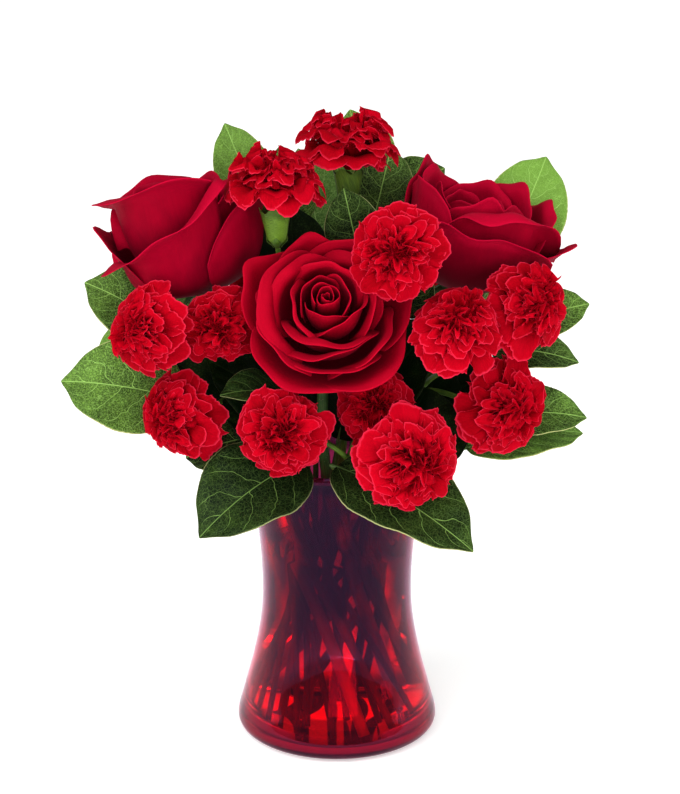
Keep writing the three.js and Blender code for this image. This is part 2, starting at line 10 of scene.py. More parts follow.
import bpy
import numpy as np
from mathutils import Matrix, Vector


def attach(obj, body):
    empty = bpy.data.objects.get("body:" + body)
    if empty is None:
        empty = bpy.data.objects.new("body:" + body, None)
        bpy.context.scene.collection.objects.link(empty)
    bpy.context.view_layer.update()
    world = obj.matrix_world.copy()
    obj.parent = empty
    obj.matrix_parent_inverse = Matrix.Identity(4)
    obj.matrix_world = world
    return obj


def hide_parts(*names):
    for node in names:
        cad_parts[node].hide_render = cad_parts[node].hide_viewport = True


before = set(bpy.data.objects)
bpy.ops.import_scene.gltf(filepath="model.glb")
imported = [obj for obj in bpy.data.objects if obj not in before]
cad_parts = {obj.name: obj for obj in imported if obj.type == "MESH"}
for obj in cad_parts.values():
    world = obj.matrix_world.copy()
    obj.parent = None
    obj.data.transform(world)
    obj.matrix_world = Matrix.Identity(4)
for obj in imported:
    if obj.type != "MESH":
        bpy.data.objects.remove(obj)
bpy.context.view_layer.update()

MM = 0.001

# Floor, camera of the photograph and lights
FLOOR_GAP = 0.0003
FLOOR_REACH = 30.0
FLOOR_GLOW = 0.38
CAMERA_PLACE = (0.00185, -0.860, 0.411)
CAMERA_PITCH = 13.5
CAMERA_LENS = 68.33
VIEW_GAMMA = 0.85
SKY_STRENGTH = 0.5
SKY_SEEN = 1.1  # to the camera and through glass
KEY_STRENGTH = 1.45
KEY_SPREAD = 60  # the sun's width in the sky, in degrees
KEY_TILT = (38, -24)
SOFTBOXES = {
    "left_box": {"place": (-1.1, -0.9, 0.9), "target": (0, 0, 0.25), "size": (0.7, 1.0), "power": 9},
    "right_box": {"place": (1.2, -0.5, 0.6), "target": (0, 0, 0.2), "size": (0.4, 1.0), "power": 6},
    "front_box": {"place": (0.2, -1.5, 0.3), "target": (0, 0, 0.28), "size": (1.0, 0.7), "power": 15,
                  "mirrored": False},
}

# Vase and water
VASE_HEIGHT = 170
WALL = 3.4
FLOOR_TOP = 7
WATER_LEVEL = 116
INNER_FLOOR_RADIUS = 52
GAP = 0.3
OUTER_PROFILE = [
    (52, 0), (58.8, 2.6), (60.7, 7.5), (57.6, 20), (50.4, 47), (45.6, 74), (45.1, 100),
    (47.8, 133), (51, 163), (52.2, 167), (51.4, VASE_HEIGHT),
]
INNER_HEIGHTS = [VASE_HEIGHT, 133, 100, 74, 47, 20]
WATER_HEIGHTS = [20, 47, 74, 100, WATER_LEVEL]
GLASS_SIDES = 144
PROFILE_STEPS = 6  # from one profile point to the next

# Stems
NECK_HEIGHT = 150
RINGS = {
    "outer": {"neck": 34, "foot": 44, "twist": 118},
    "middle": {"neck": 20, "foot": 29, "twist": 108},
    "inner": {"neck": 8, "foot": 14, "twist": 90},
}
STRAIGHT_STEPS = 12
CURVE_STEPS = 32
BEND_STEPS = 8  # between the bends that leaves grow from
TWIG_STEPS = 18
STALK_STEPS = 14
SIDES = {"rose": 18, "spray": 16, "twig": 10, "leafy": 12, "stalk": 10}
ROSE_STEM_RADIUS = 3.2
SPRAY_STEM_RADIUS = 2.2
TWIG_RADIUS = 1.5
LEAFY_STEM_RADIUS = 1.7
STALK_RADIUS = 0.9
STALK_END = 0.3  # its radius where it fades into the midrib
BEND_REACH = 0.38

# Carnation heads and their calyxes
HEAD_DEPTH = 0.42
CALYX_LENGTH = 22
CALYX_BASE = 4.6
CALYX_RADIUS = 8.2
CALYX_RIM = 2.5
TOOTH = 3.2
CALYX_TEETH = 5
CALYX_RIBS = 20
CALYX_SIDES = 40
CALYX_ROWS = 9
CALYX_SCALES = 4
SCALE_LENGTH = 6.5
SCALE_THICKNESS = 0.25
CARNATION_SEED = 100
CARNATION_TURN = 40  # degrees from one head to the next
CARNATION_PETALS = 52
CROWDING = 0.85  # under 1, it sets more petals near the middle
CARNATION_COLUMNS = 36
CARNATION_ROWS = 8
# How a head's petals change from the outermost, at 0, to the middle, at 1. Rims, swings and shifts are
# shares of the head's radius. A spread is half the angle that a petal spans, waves are the folds across it,
# and a shift is how far it may stand off centre.
CARNATION_STEPS = [0, 0.34, 0.5, 0.8, 1]
RIM_DISTANCE = [1.06, 0.98, 0.74, 0.48, 0.22]
RIM_HEIGHT = [0.0, 0.36, 0.66, 0.82, 0.9]
RIM_SWING = [0.08, 0.1, 0.13, 0.16, 0.16]
PETAL_SPREAD = [37, 38, 44, 54, 66]
PETAL_WAVES = [0.9, 1.3, 2.0, 2.3, 1.8]
RIM_SHIFT = [0, 0, 0.1, 0.24, 0.24]
RIM_TEETH = 0.028  # depths along the petal, as shares of its length
RIM_LOBES = (0.05, 0.025)
GOLDEN_ANGLE = math.radians(137.508)
MIDDLE_COLUMNS = 96
MIDDLE_ROWS = 14
MIDDLE_RADIUS = 0.62
MIDDLE_HEIGHT = 0.8

# Rose heads: a tight spiral in the middle, whorls of petals round it, and guards, which are outer petals
# placed one by one. A petal's profile is given in this order: the Bezier values of its distance and of its
# height from root to lip, half the angle that it spans, the share that curls over as its lip, and the angle
# that this curls through. skew slides one edge out and the other in, point is how far the tip stands out,
# roll turns the side edges outwards, corner drops the lip's corners, slant raises its right edge, sag lowers
# its middle, ruffle waves it, ragged makes its edge uneven, and tone is from dark to bright.
ROSE_SEED = 700
ROSE_ROWS = 28
ROSE_COLUMNS = 26
EYE_COLUMNS = 150
EYE_ROWS = 16
EYE_ROOT = 8  # above the head's base
PETAL_THICKNESS = 0.45
LIP_FOLD = 0.6  # share of the lip that bends, before it runs straight
HIP_START = 10  # under the head
HIP_PROFILE = [(8, 4.6), (6, 5.8), (4, 6.4), (2, 6.7), (GAP, 6.6)]  # (distance under the head, radius)
SEPALS = 5
SEPAL_REACH = (3, 16)  # from the stem's axis
SEPAL_HALF = 3.2
SEPAL_THICKNESS = 0.5


def petals(count, turn, *profile, **shape):
    """A whorl of petals, with the first one turned from the head's own side."""
    return count, turn, profile, shape


def petal(towards, *profile, **shape):
    """A guard that faces a way, in degrees from +X."""
    return towards, profile, shape


ROSE_FORMS = {
    "open": {
        "eye": {"turns": 2.6, "root": (2, 4), "belly": (2.2, 9), "lip": (1.2, 8), "height": (43, 44)},
        "whorls": [
            petals(3, 10, (4, 13, 14, 11.5), (8, 18, 34, 44), 80, 0.06, 40, skew=0.12, point=0.02, roll=0),
            petals(3, 75, (5, 19, 20, 16.5), (6, 14, 32, 45.5), 72, 0.1, 75, skew=0.1, point=0.05, roll=0.4),
            petals(3, 25, (6, 25, 25, 22), (4, 9, 30, 45.5), 72, 0.16, 85, skew=0.1, point=0.08),
            petals(1, 168, (7, 31, 27, 29), (2, 6, 29, 45), 74, 0.22, 70, skew=0.04, point=0.04),
            petals(1, 28, (7, 29, 26, 29), (2, 6, 29, 44), 50, 0.18, 60, skew=0.06, point=0.22, roll=2),
            petals(1, 285, (7, 30, 27, 30), (2, 6, 28, 42), 60, 0.18, 55, skew=-0.06, point=0.08, roll=1.5),
            petals(1, 205, (7.5, 34, 30, 38), (1.5, 4, 29, 37), 54, 0.16, 42, skew=0.05, point=0.07, roll=2,
                   ruffle=0.6),
            petals(1, 270, (7.5, 34, 31, 40), (1.5, 4, 27, 32), 50, 0.16, 38, skew=0.04, point=0.05, roll=2,
                   ruffle=0.6),
            petals(1, 322, (7.5, 35, 31, 38), (1.5, 4, 28, 36), 50, 0.16, 45, skew=-0.05, point=0.12,
                   roll=2, ruffle=0.6),
            petals(1, 62, (7.5, 34, 31, 37), (1.5, 4, 28, 38), 48, 0.14, 40, skew=0.05, point=0.12, roll=2),
            petals(1, 98, (8, 37, 34, 42), (1, 3, 26, 33), 46, 0.1, 35, point=0.2, roll=2),
            petals(1, 156, (8, 38, 38, 52), (1, 2, 24, 28), 42, 0.08, 15, point=0.24, ruffle=0.8),
            petals(1, 236, (8, 38, 38, 50), (1, 2, 24, 24), 52, 0.12, 22, ruffle=0.8),
            petals(1, 312, (8, 38, 38, 52), (1, 2, 25, 25), 50, 0.1, 20, skew=-0.03, point=0.12, ruffle=0.8),
            petals(1, 12, (8, 37, 36, 48), (1, 3, 25, 29), 42, 0.1, 18, point=0.14, ruffle=0.8),
        ],
        "guards": [],
    },
    "cupped": {
        "eye": {"turns": 2.3, "root": (2, 5), "belly": (3, 13), "lip": (2, 9), "height": (52, 53)},
        "whorls": [
            petals(3, 0, (5, 22, 20, 14), (6, 14, 44, 58), 80, 0.07, 50, skew=0.1, point=0.03, roll=0.3),
            petals(3, 60, (5.5, 29, 26, 21), (5, 12, 45, 63), 74, 0.09, 80, skew=0.09, point=0.04, roll=0.6),
        ],
        "guards": [
            petal(-124, (6, 38, 31, 33), (3, 9, 54, 76), 74, 0.15, 105, skew=-0.06, point=0.0, roll=7,
                  corner=0.12, slant=6),
            petal(-6, (6, 38, 30, 31), (3, 9, 47, 66), 66, 0.1, 60, skew=0.05, point=0.12, roll=2, slant=2),
            petal(116, (6, 38, 31, 32), (3, 9, 46, 64), 70, 0.12, 90, skew=0.05, point=0.06, roll=1.5),
            petal(-102, (8, 48, 38, 42), (1, 2, 42, 76), 50, 0.16, 125, skew=0.0, point=0.02, corner=0.1,
                  slant=21, sag=24, tone=0.55),
            petal(190, (8, 47, 37, 50), (1, 4, 38, 50), 44, 0.08, 20, point=0.2, roll=3, slant=-4),
            petal(-32, (8, 50, 45, 45), (1, 2, 36, 54), 40, 0.08, 35, point=0.05, roll=2, slant=5),
            petal(46, (8, 48, 40, 46), (1, 3, 34, 54), 46, 0.12, 60, roll=2, slant=2),
            petal(118, (8, 48, 40, 48), (1, 3, 34, 48), 46, 0.14, 70, roll=2, slant=-3),
        ],
    },
    "relaxed": {
        "eye": {"turns": 2.3, "root": (2, 5), "belly": (3, 13), "lip": (2, 9), "height": (46, 47)},
        "whorls": [
            petals(3, 0, (5, 22, 20, 14), (6, 14, 42, 53), 80, 0.07, 40, skew=0.1, point=0.05, roll=0.3),
            petals(3, 60, (5.5, 29, 27, 22), (5, 12, 44, 59), 72, 0.09, 45, skew=0.09, roll=0.6),
            petals(3, 20, (6, 37, 31, 29), (3, 9, 46, 64), 66, 0.1, 45, skew=0.07, point=0.14),
        ],
        "guards": [
            petal(-62, (8, 42, 35, 37), (1, 4, 47, 68), 60, 0.17, 115, skew=0.1, point=0.04, roll=6,
                  slant=-5, ruffle=1.2, ragged=2, tone=0.75),
            # Painted shade: the next two guards, low at the front of the head, are set dark.
            petal(-100, (8, 44, 52, 50), (1, 4, 42, 46), 60, 0.12, 70, point=0, roll=2, slant=2, ruffle=3.4,
                  ragged=4.5, tone=0.1),
            petal(-20, (8, 46, 50, 62), (1, 4, 42, 46), 38, 0.1, 25, point=0.22, roll=3, slant=-2,
                  ruffle=2.4, ragged=3.5, tone=0.1),
            petal(204, (8, 44, 33, 40), (1, 5, 46, 62), 44, 0.06, 15, point=0.06, roll=4, slant=4,
                  ruffle=1.2),
            petal(146, (8, 44, 34, 40), (1, 5, 46, 66), 40, 0.08, 25, point=0.12, roll=3),
            petal(20, (8, 44, 38, 44), (1, 4, 46, 62), 44, 0.12, 55, point=0.12, roll=3, slant=-3),
            petal(82, (8, 46, 46, 50), (1, 4, 46, 46), 48, 0.14, 60, roll=2),
        ],
    },
}

# Leaves
LEAF_COLUMNS = 22
LEAF_ROWS = 44
LEAF_THICKNESS = 0.5
LEAF_SEEDS = (3.7, 1.3)  # steps from stem to stem and from leaf to leaf
RIB_POINTS = 12
RIB_SHARE = 0.16  # of the leaf's length, which its stalk follows

# The bouquet, as the CAD model places it
def bloom(at, faces, radius, droop=0):
    """A carnation head. droop bends its petals down at their rims."""
    return {"at": at, "faces": faces, "radius": radius, "droop": droop}


CARNATIONS = {
    "top": bloom((7, 17, 347), (0.02, 0.12, 1), 29, droop=1),
    "top_left": bloom((-34, -42, 332), (-0.05, -0.12, 1), 27.5, droop=1),
    "top_right": bloom((31, -82, 301), (-0.2, -0.95, 0.12), 26),
    "left": bloom((-103, -59, 256), (-0.48, -0.86, 0.15), 24),
    "left_inner": bloom((-64, -47, 256), (0.05, -0.98, 0.12), 22),
    "right_inner": bloom((64, -84, 262), (0.05, -0.75, 0.62), 25),
    "right": bloom((104, -57, 269), (0.5, -0.8, 0.35), 26),
    "low_left": bloom((-88, -52, 206), (-0.5, -0.86, 0.05), 24.5),
    "low_middle_left": bloom((-29, -88, 207), (-0.12, -0.96, 0.2), 24.5),
    "low_middle": bloom((20, -60, 215), (0, -0.97, 0.25), 23),
    "low_middle_right": bloom((39, -100, 195), (0.22, -0.97, 0.1), 29.5),
    "low_right": bloom((92, -62, 213), (0.42, -0.88, 0.12), 26.5),
    "back_left": bloom((-46, 78, 262), (-0.4, 0.85, 0.5), 26),
    "back_right": bloom((48, 74, 272), (0.45, 0.82, 0.55), 26),
}
SPRAYS = {
    "left": {"place": ("outer", 196), "fork": (-50, -10, 212), "rise": 0.6,
             "heads": ["left", "left_inner", "low_left"]},
    "top": {"place": ("inner", 80), "fork": (6, 8, 240), "rise": 0.6,
            "heads": ["top", "top_left", "top_right"]},
    "right": {"place": ("outer", -14), "fork": (46, -10, 208), "rise": 0.6,
              "heads": ["right_inner", "right", "low_right"]},
    "front": {"place": ("outer", -88), "fork": (6, -36, 176), "rise": 0,
              "heads": ["low_middle_left", "low_middle", "low_middle_right"]},
    "back": {"place": ("middle", 92), "fork": (2, 42, 206), "rise": 0.6,
             "heads": ["back_left", "back_right"]},
}
ROSES = {
    "left": {"base": (-79, 2, 269), "faces": (-0.2, -0.18, 0.97), "form": "cupped", "spin": 15,
             "place": ("outer", 172)},
    "middle": {"base": (-6, -46, 254), "faces": (0.02, -0.82, 0.57), "form": "open", "spin": 0,
               "place": ("middle", -100)},
    "right": {"base": (68, 15, 269), "faces": (0.25, -0.17, 0.95), "form": "relaxed", "spin": 200,
              "place": ("outer", 14)},
}


def leaf(base, tip, face, width, tone=0.3, joint=None, arch=0.1):
    """A leaf from base to tip with its upper side facing a given way. tone is from dark to pale green:
    partly the leaf's own green, partly painted shade that darkens the leaves far inside the bouquet.
    """
    return {
        "base": base, "tip": tip, "face": face, "width": width, "tone": tone, "joint": joint, "arch": arch,
    }


# The last leaf of each stem ends it, and joint is the bend of the stem that another leaf grows from. Leaf
# tones are partly painted shade: the leaves far inside are set darkest, the outer and upper ones palest.
LEAFY_STEMS = {
    "low_left": (("outer", 222), [
        leaf((-19, -52, 180), (-74, -90, 150), (-0.35, -0.75, 0.55), 58, tone=0.07, joint=3),
        leaf((-50, -38, 190), (-86, -36, 178), (-0.2, -0.8, 0.5), 32, tone=0.1, joint=3),
        leaf((-31, -28, 183), (-64, -29, 210), (0.1, -0.5, 0.6), 40, tone=0, joint=2),
        leaf((-88, -14, 206), (-158, -18, 219), (0.1, -0.8, 0.5), 56, tone=0.5),
    ]),
    "front_left": (("middle", 210), [
        leaf((-17, -21, 191), (-73, -25, 233), (0.1, -0.95, 0.65), 41, tone=0, joint=2),
        leaf((-24, -46, 214), (-62, -72, 224), (0, -0.5, 0.85), 30, tone=0.05),
    ]),
    "front_right": (("middle", -30), [
        leaf((21, -24, 200), (57, -26, 256), (-0.35, -0.6, 0.45), 48, tone=0, joint=2),
        leaf((38, -32, 258), (47, -38, 290), (0, -1, 0.2), 24, tone=0.1),
    ]),
    "low_right": (("outer", 296), [
        leaf((24, -30, 184), (77, -36, 193), (0, -0.8, 0.6), 54, tone=0, joint=2),
        leaf((0, -55, 178), (73, -99, 145), (0.3, -0.5, 0.55), 58, tone=0.1, arch=0.06),
    ]),
    "left": (("outer", 150), [
        leaf((-64, 26, 206), (-114, 42, 198), (-0.4, 0.2, 0.9), 40, tone=0.3, joint=3),
        leaf((-110, 26, 234), (-146, 28, 220), (-0.4, -0.7, 0.6), 30, tone=0.9, joint=4),
        leaf((-42, 10, 193), (-98, -5, 240), (-0.15, -1, 0.25), 50, tone=0, joint=2),
        leaf((-102, 22, 242), (-148, 18, 270), (-0.1, -0.8, 0.6), 44, tone=0.4),
    ]),
    "top_left": (("middle", 130), [
        leaf((-24, 4, 262), (-26, -4, 318), (0, -1, 0.1), 48, tone=0, joint=4),
        leaf((-26, 34, 300), (-33, 34, 348), (0, -1, 0.2), 34, tone=0.5, joint=4),
        leaf((-44, 44, 308), (-67, 50, 360), (-0.1, -1, 0.2), 34, tone=0.7),
    ]),
    "top": (("inner", 200), [
        leaf((-10, 0, 196), (-44, -8, 254), (0, -1, 0.1), 42, tone=0, joint=2),
        leaf((34, 68, 312), (66, 72, 332), (0.1, -0.9, 0.5), 34, tone=0.35, joint=4),
        leaf((20, 70, 322), (8, 70, 367), (0, -1, 0.1), 40, tone=0.7),
    ]),
    "middle": (("inner", 8), [
        leaf((1, -3, 180), (13, -12, 234), (-0.3, -1.05, -0.2), 40, tone=0, joint=2),
        leaf((12, -14, 292), (4, -20, 328), (0, -1, 0.2), 31, tone=0.1, joint=4),
        leaf((20, 42, 296), (33, 62, 346), (0.1, -1, 0.4), 38, tone=0.3),
    ]),
    "top_right": (("outer", 64), [
        leaf((100, 52, 276), (129, 74, 339), (0, -1, 0.2), 50, tone=0.95),
    ]),
    "right": (("outer", 38), [
        leaf((66, 26, 208), (116, 44, 200), (0.4, 0.2, 0.9), 40, tone=0.35, joint=3),
        leaf((90, 0, 232), (140, -8, 228), (0, -0.7, 0.8), 28, tone=0.2, joint=4),
        leaf((108, 20, 245), (149, 18, 257), (0, -0.9, 0.4), 28, tone=0.45),
    ]),
    "low_right_side": (("outer", 321), [
        leaf((54, -6, 191), (94, -17, 231), (0.15, -0.55, 0.6), 42, tone=0, joint=2),
        leaf((74, -24, 180), (143, -14, 188), (0.1, -0.6, 0.9), 40, tone=0.58, joint=4),
        leaf((92, -18, 197), (143, -24, 199), (0.1, -0.7, 0.7), 32, tone=0.4),
    ]),
    "back_left": (("outer", 122), [
        leaf((-52, 56, 214), (-106, 88, 196), (-0.2, 0.6, 0.8), 50, tone=0.3, joint=3),
        leaf((-84, 50, 250), (-124, 70, 292), (-0.4, 0.8, -0.2), 42, tone=0.5),
    ]),
    "back_right": (("outer", 79), [
        leaf((50, 56, 210), (100, 92, 192), (0.2, 0.6, 0.8), 50, tone=0.3, joint=3),
        leaf((76, 68, 240), (126, 86, 270), (0.4, 0.8, 0.1), 42, tone=0.45),
    ]),
    "back": (("outer", 94), [
        leaf((-4, 62, 200), (-6, 114, 168), (0, 0.6, 0.8), 52, tone=0.35, joint=3),
        leaf((-10, 74, 286), (-24, 88, 342), (0, 1, 0.1), 44, tone=0.5),
    ]),
}


# Geometry
def unit(vector):
    vector = np.asarray(vector, float)
    return vector / np.linalg.norm(vector, axis=-1, keepdims=True)


def lerp(a, b, t):
    return a + (b - a) * t


def smooth(value, low=0.0, high=1.0):
    t = np.clip((value - low) / (high - low), 0, 1)
    return t * t * (3 - 2 * t)


def quadratic(a, b, c, t):
    return (1 - t) ** 2 * a + 2 * t * (1 - t) * b + t * t * c


def cubic(values, t):
    a, b, c, d = values
    u = 1 - t
    return u ** 3 * a + 3 * u * u * t * b + 3 * u * t * t * c + t ** 3 * d


def cubic_slope(values, t):
    a, b, c, d = values
    u = 1 - t
    return 3 * u * u * (b - a) + 6 * u * t * (c - b) + 3 * t * t * (d - c)


def stack(x, y, z):
    return np.stack(np.broadcast_arrays(x, y, z), axis=-1).astype(float)


def polar(distance, angle, height):
    """Points at a distance from an axis, an angle round it and a height along it."""
    return stack(distance * np.cos(angle), distance * np.sin(angle), height)


def across_and_along(columns, rows):
    """A grid of numbers that run from -1 to 1 across and from 0 to 1 along."""
    return np.meshgrid(np.linspace(-1, 1, columns + 1), np.linspace(0, 1, rows + 1))


class Frame:
    """A head's own directions: side and up across it, and along its axis."""

    def __init__(self, centre, axis, spin=0.0):
        along = unit(axis)
        side = unit(np.cross((0.0, 0.0, 1.0), along))
        up = np.cross(along, side)
        turn = math.radians(spin)
        self.centre = np.asarray(centre, float)
        self.basis = np.array([
            side * math.cos(turn) + up * math.sin(turn),
            up * math.cos(turn) - side * math.sin(turn),
            along,
        ])

    def place(self, points):
        return self.centre + points @ self.basis

    def azimuth(self, degrees):
        """The angle about the axis that faces a direction on the floor."""
        turn = math.radians(degrees)
        way = np.array([math.cos(turn), math.sin(turn), 0.0])
        return math.atan2(way @ self.basis[1], way @ self.basis[0])


def add_object(name, data):
    thing = bpy.data.objects.new(name, data)
    bpy.context.collection.objects.link(thing)
    return thing


class Skin:
    """Collects grids of points into one mesh. Each point keeps its place in its grid for the materials:
    shape is (across, along, tone), and flat is its place in millimetres on the sheet laid flat."""

    def __init__(self):
        self.points = []
        self.shapes = []
        self.flats = []
        self.faces = []
        self.slots = []
        self.count = 0

    def add(self, points, across, along, tone=0.5, flat=None, slot=0, flip=False):
        rows, columns = points.shape[:2]
        ids = self.count + np.arange(rows * columns).reshape(rows, columns)
        quads = np.stack([ids[:-1, :-1], ids[:-1, 1:], ids[1:, 1:], ids[1:, :-1]], axis=-1).reshape(-1, 4)
        if flip:
            quads = quads[:, ::-1]
        shape = stack(across, along, tone)
        self.points.append(points.reshape(-1, 3))
        self.shapes.append(np.broadcast_to(shape, points.shape).reshape(-1, 3))
        self.flats.append((points if flat is None else flat).reshape(-1, 3))
        self.faces.append(quads)
        self.slots.append(np.full(len(quads), slot, dtype=np.int32))
        self.count += rows * columns
        return ids

    def rim(self, ids, other, slot):
        """Closes the edge between two grids of the same size."""
        def loop(g):
            return np.concatenate([g[0, :-1], g[:-1, -1], g[-1, :0:-1], g[:0:-1, 0]])
        a, b = loop(ids), loop(other)
        quads = np.stack([a, b, np.roll(b, -1), np.roll(a, -1)], axis=-1)
        self.faces.append(quads)
        self.slots.append(np.full(len(quads), slot, dtype=np.int32))

    def piece(self, name, materials, node):
        """Makes the mesh, with the given materials in its slots. It stands for a CAD node, whose part it
        hides.
        """
        mesh = bpy.data.meshes.new(name)
        mesh.from_pydata(np.concatenate(self.points) * MM, [], np.concatenate(self.faces).tolist())
        for material in materials:
            mesh.materials.append(material)
        mesh.polygons.foreach_set("material_index", np.concatenate(self.slots))
        for label, values in (("shape", self.shapes), ("flat", self.flats)):
            attribute = mesh.attributes.new(label, "FLOAT_VECTOR", "POINT")
            attribute.data.foreach_set("vector", np.concatenate(values).astype(np.float32).ravel())
        mesh.shade_smooth()
        thing = add_object(name, mesh)
        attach(thing, "root")
        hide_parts(node)
        return thing


def normals_of(points):
    """The normal at each point of a grid."""
    across = np.gradient(points, axis=1)
    along = np.gradient(points, axis=0)
    normal = np.cross(across, along)
    length = np.linalg.norm(normal, axis=-1, keepdims=True)
    return normal / np.maximum(length, 1e-9)


def add_blade(skin, points, across, along, tone, thickness, flat=None, slots=(0, 0)):
    """A thin closed blade on a grid of points, with its own material slot on each face."""
    half = normals_of(points) * thickness / 2
    upper = skin.add(points + half, across, along, tone, flat, slots[0])
    lower = skin.add(points - half, across, along, tone, flat, slots[1], flip=True)
    skin.rim(upper, lower, slots[0])


def tube(path, radii, sides):
    """Rings of points round a path, with the last point of each ring on its first."""
    path = np.asarray(path, float)
    along = unit(np.gradient(path, axis=0))
    side = np.array([1.0, 0.0, 0.0]) if abs(along[0, 2]) > 0.9 else np.array([0.0, 0.0, 1.0])
    angle = np.linspace(0, 2 * math.pi, sides + 1)[:, None]
    rings = []
    for point, way, radius in zip(path, along, radii):
        side = unit(side - way * side.dot(way))
        up = np.cross(way, side)
        rings.append(point + radius * (np.cos(angle) * side + np.sin(angle) * up))
    return np.array(rings)


def add_tube(skin, path, radii, sides, tone=0.5, slot=0):
    """A closed tube with its own radius at each point."""
    rings = tube(path, radii, sides)
    around = np.linspace(-1, 1, sides + 1)[None, :]
    lengths = np.concatenate([[0], np.cumsum(np.linalg.norm(np.diff(path, axis=0), axis=1))])[:, None]
    flat = stack(around * np.asarray(radii)[:, None] * math.pi, lengths, tone * 90)
    skin.add(rings, around, lengths / max(lengths[-1, 0], 1e-6), tone, flat, slot)
    for ring, centre, flip in ((rings[0], path[0], True), (rings[-1], path[-1], False)):
        cap = np.array([ring, np.broadcast_to(centre, ring.shape)])
        skin.add(cap, around, 1.0, tone, None, slot, flip)


def bezier(start, out, end, into, steps):
    """Points of a curve that leaves start along one direction and reaches end along another."""
    start, end = np.asarray(start, float), np.asarray(end, float)
    reach = np.linalg.norm(end - start) * BEND_REACH
    t = np.linspace(0, 1, steps + 1)[:, None]
    return cubic((start, start + np.asarray(out) * reach, end - np.asarray(into) * reach, end), t)


def in_vase(place, radius):
    """The cut end and the neck of a stem on one of the rings, and the direction between them."""
    ring, azimuth = place
    sizes = RINGS[ring]

    def at(distance, degrees, z):
        turn = math.radians(degrees)
        return np.array([distance * math.cos(turn), distance * math.sin(turn), z])
    top = at(sizes["neck"], azimuth, NECK_HEIGHT)
    end = at(sizes["foot"], azimuth + sizes["twist"], FLOOR_TOP + GAP)
    along = unit(top - end)
    end[2] += radius * math.hypot(along[0], along[1])
    return end, top, along


def stem_path(place, radius, end, into):
    """From the cut end straight to the neck, and on to a place along a direction, with the bends that
    leaves grow from."""
    foot, neck, along = in_vase(place, radius)
    straight = [lerp(foot, neck, t) for t in np.linspace(0, 1, STRAIGHT_STEPS + 1)[:-1]]
    curve = bezier(neck, along, end, into, CURVE_STEPS)
    bends = [foot, *curve[::BEND_STEPS]]
    return np.array([*straight, *curve]), bends


# Materials, with heights in metres
PETAL_SHEEN = (0.62, 0.05, 0.12)
LEAF_MARGIN = (0.55, 0.56, 0.26)
STALK_SPECK = (0.45, 0.5, 0.3)
GLASS = {
    "foot": (0.05, 0.001, 0.006), "low": (0.95, 0.009, 0.036), "red": (0.85, 0.01, 0.036),
    "purple": (0.2, 0.018, 0.07), "lip": (0.06, 0.006, 0.025), "turned": (0.15, 0.022, 0.08),
    "edge": (0.7, 0.62, 0.84),
}


class Shader:
    """Builds one material's nodes. Values are numbers, colours or other nodes' outputs."""

    def __init__(self, name):
        self.material = bpy.data.materials.new(name)
        self.material.use_nodes = True
        self.tree = self.material.node_tree
        self.tree.nodes.clear()

    def feed(self, socket, value):
        if isinstance(value, bpy.types.NodeSocket):
            self.tree.links.new(value, socket)
        elif socket.type == "RGBA" and len(value) == 3:
            socket.default_value = (*value, 1)
        else:
            socket.default_value = value

    def node(self, kind, inputs, **settings):
        made = self.tree.nodes.new(kind)
        for key, value in settings.items():
            setattr(made, key, value)
        for key, value in inputs.items():
            self.feed(made.inputs[key], value)
        return made

    def read(self, name):
        """The three numbers of a mesh attribute, and the attribute as a vector."""
        vector = self.node("ShaderNodeAttribute", {}, attribute_name=name).outputs["Vector"]
        parts = self.node("ShaderNodeSeparateXYZ", {0: vector})
        return (*parts.outputs, vector)

    def math(self, operation, *values):
        return self.node("ShaderNodeMath", dict(enumerate(values)), operation=operation).outputs[0]

    def plus(self, a, b):
        return self.math("ADD", a, b)

    def minus(self, a, b):
        return self.math("SUBTRACT", a, b)

    def times(self, a, b):
        return self.math("MULTIPLY", a, b)

    def stirred(self, value, by, amount):
        """Moves a value up or down by how far another number is from its middle, 0.5."""
        return self.plus(value, self.times(self.minus(by, 0.5), amount))

    def mix(self, share, a, b):
        return self.node("ShaderNodeMix", {0: share, 6: a, 7: b}, data_type="RGBA").outputs[2]

    def step(self, value, low, high, first=0.0, last=1.0):
        """Runs smoothly from first to last as the value goes from low to high."""
        sockets = {0: value, 1: low, 2: high, 3: first, 4: last}
        return self.node("ShaderNodeMapRange", sockets, interpolation_type="SMOOTHSTEP").outputs[0]

    def scaled(self, vector, x, y, z):
        return self.node("ShaderNodeVectorMath", {0: vector, 1: (x, y, z)}, operation="MULTIPLY").outputs[0]

    def noise(self, vector, scale, detail=2.0, roughness=0.5):
        sockets = {"Vector": vector, "Scale": scale, "Detail": detail, "Roughness": roughness}
        return self.node("ShaderNodeTexNoise", sockets).outputs[0]

    def cells(self, vector, scale):
        """How far it is to the nearest edge between cells."""
        sockets = {"Vector": vector, "Scale": scale}
        return self.node("ShaderNodeTexVoronoi", sockets, feature="DISTANCE_TO_EDGE").outputs[0]

    def bump(self, height, distance, strength=1.0):
        sockets = {"Height": height, "Distance": distance, "Strength": strength}
        return self.node("ShaderNodeBump", sockets).outputs[0]

    def principled(self, colour, **inputs):
        names = {key.replace("_", " "): value for key, value in inputs.items()}
        return self.node("ShaderNodeBsdfPrincipled", {"Base Color": colour, **names}).outputs[0]

    def finish(self, surface):
        output = self.node("ShaderNodeOutputMaterial", {"Surface": surface})
        output.is_active_output = True
        return self.material

    def finish_thin(self, colour, normal, translucent, **inputs):
        """Finishes a petal or a leaf, which lets a share of the light through."""
        front = self.principled(colour, Normal=normal, **inputs)
        through = self.node("ShaderNodeBsdfTranslucent", {"Color": colour, "Normal": normal}).outputs[0]
        mixed = self.node("ShaderNodeMixShader", {0: translucent, 1: front, 2: through})
        return self.finish(mixed.outputs[0])


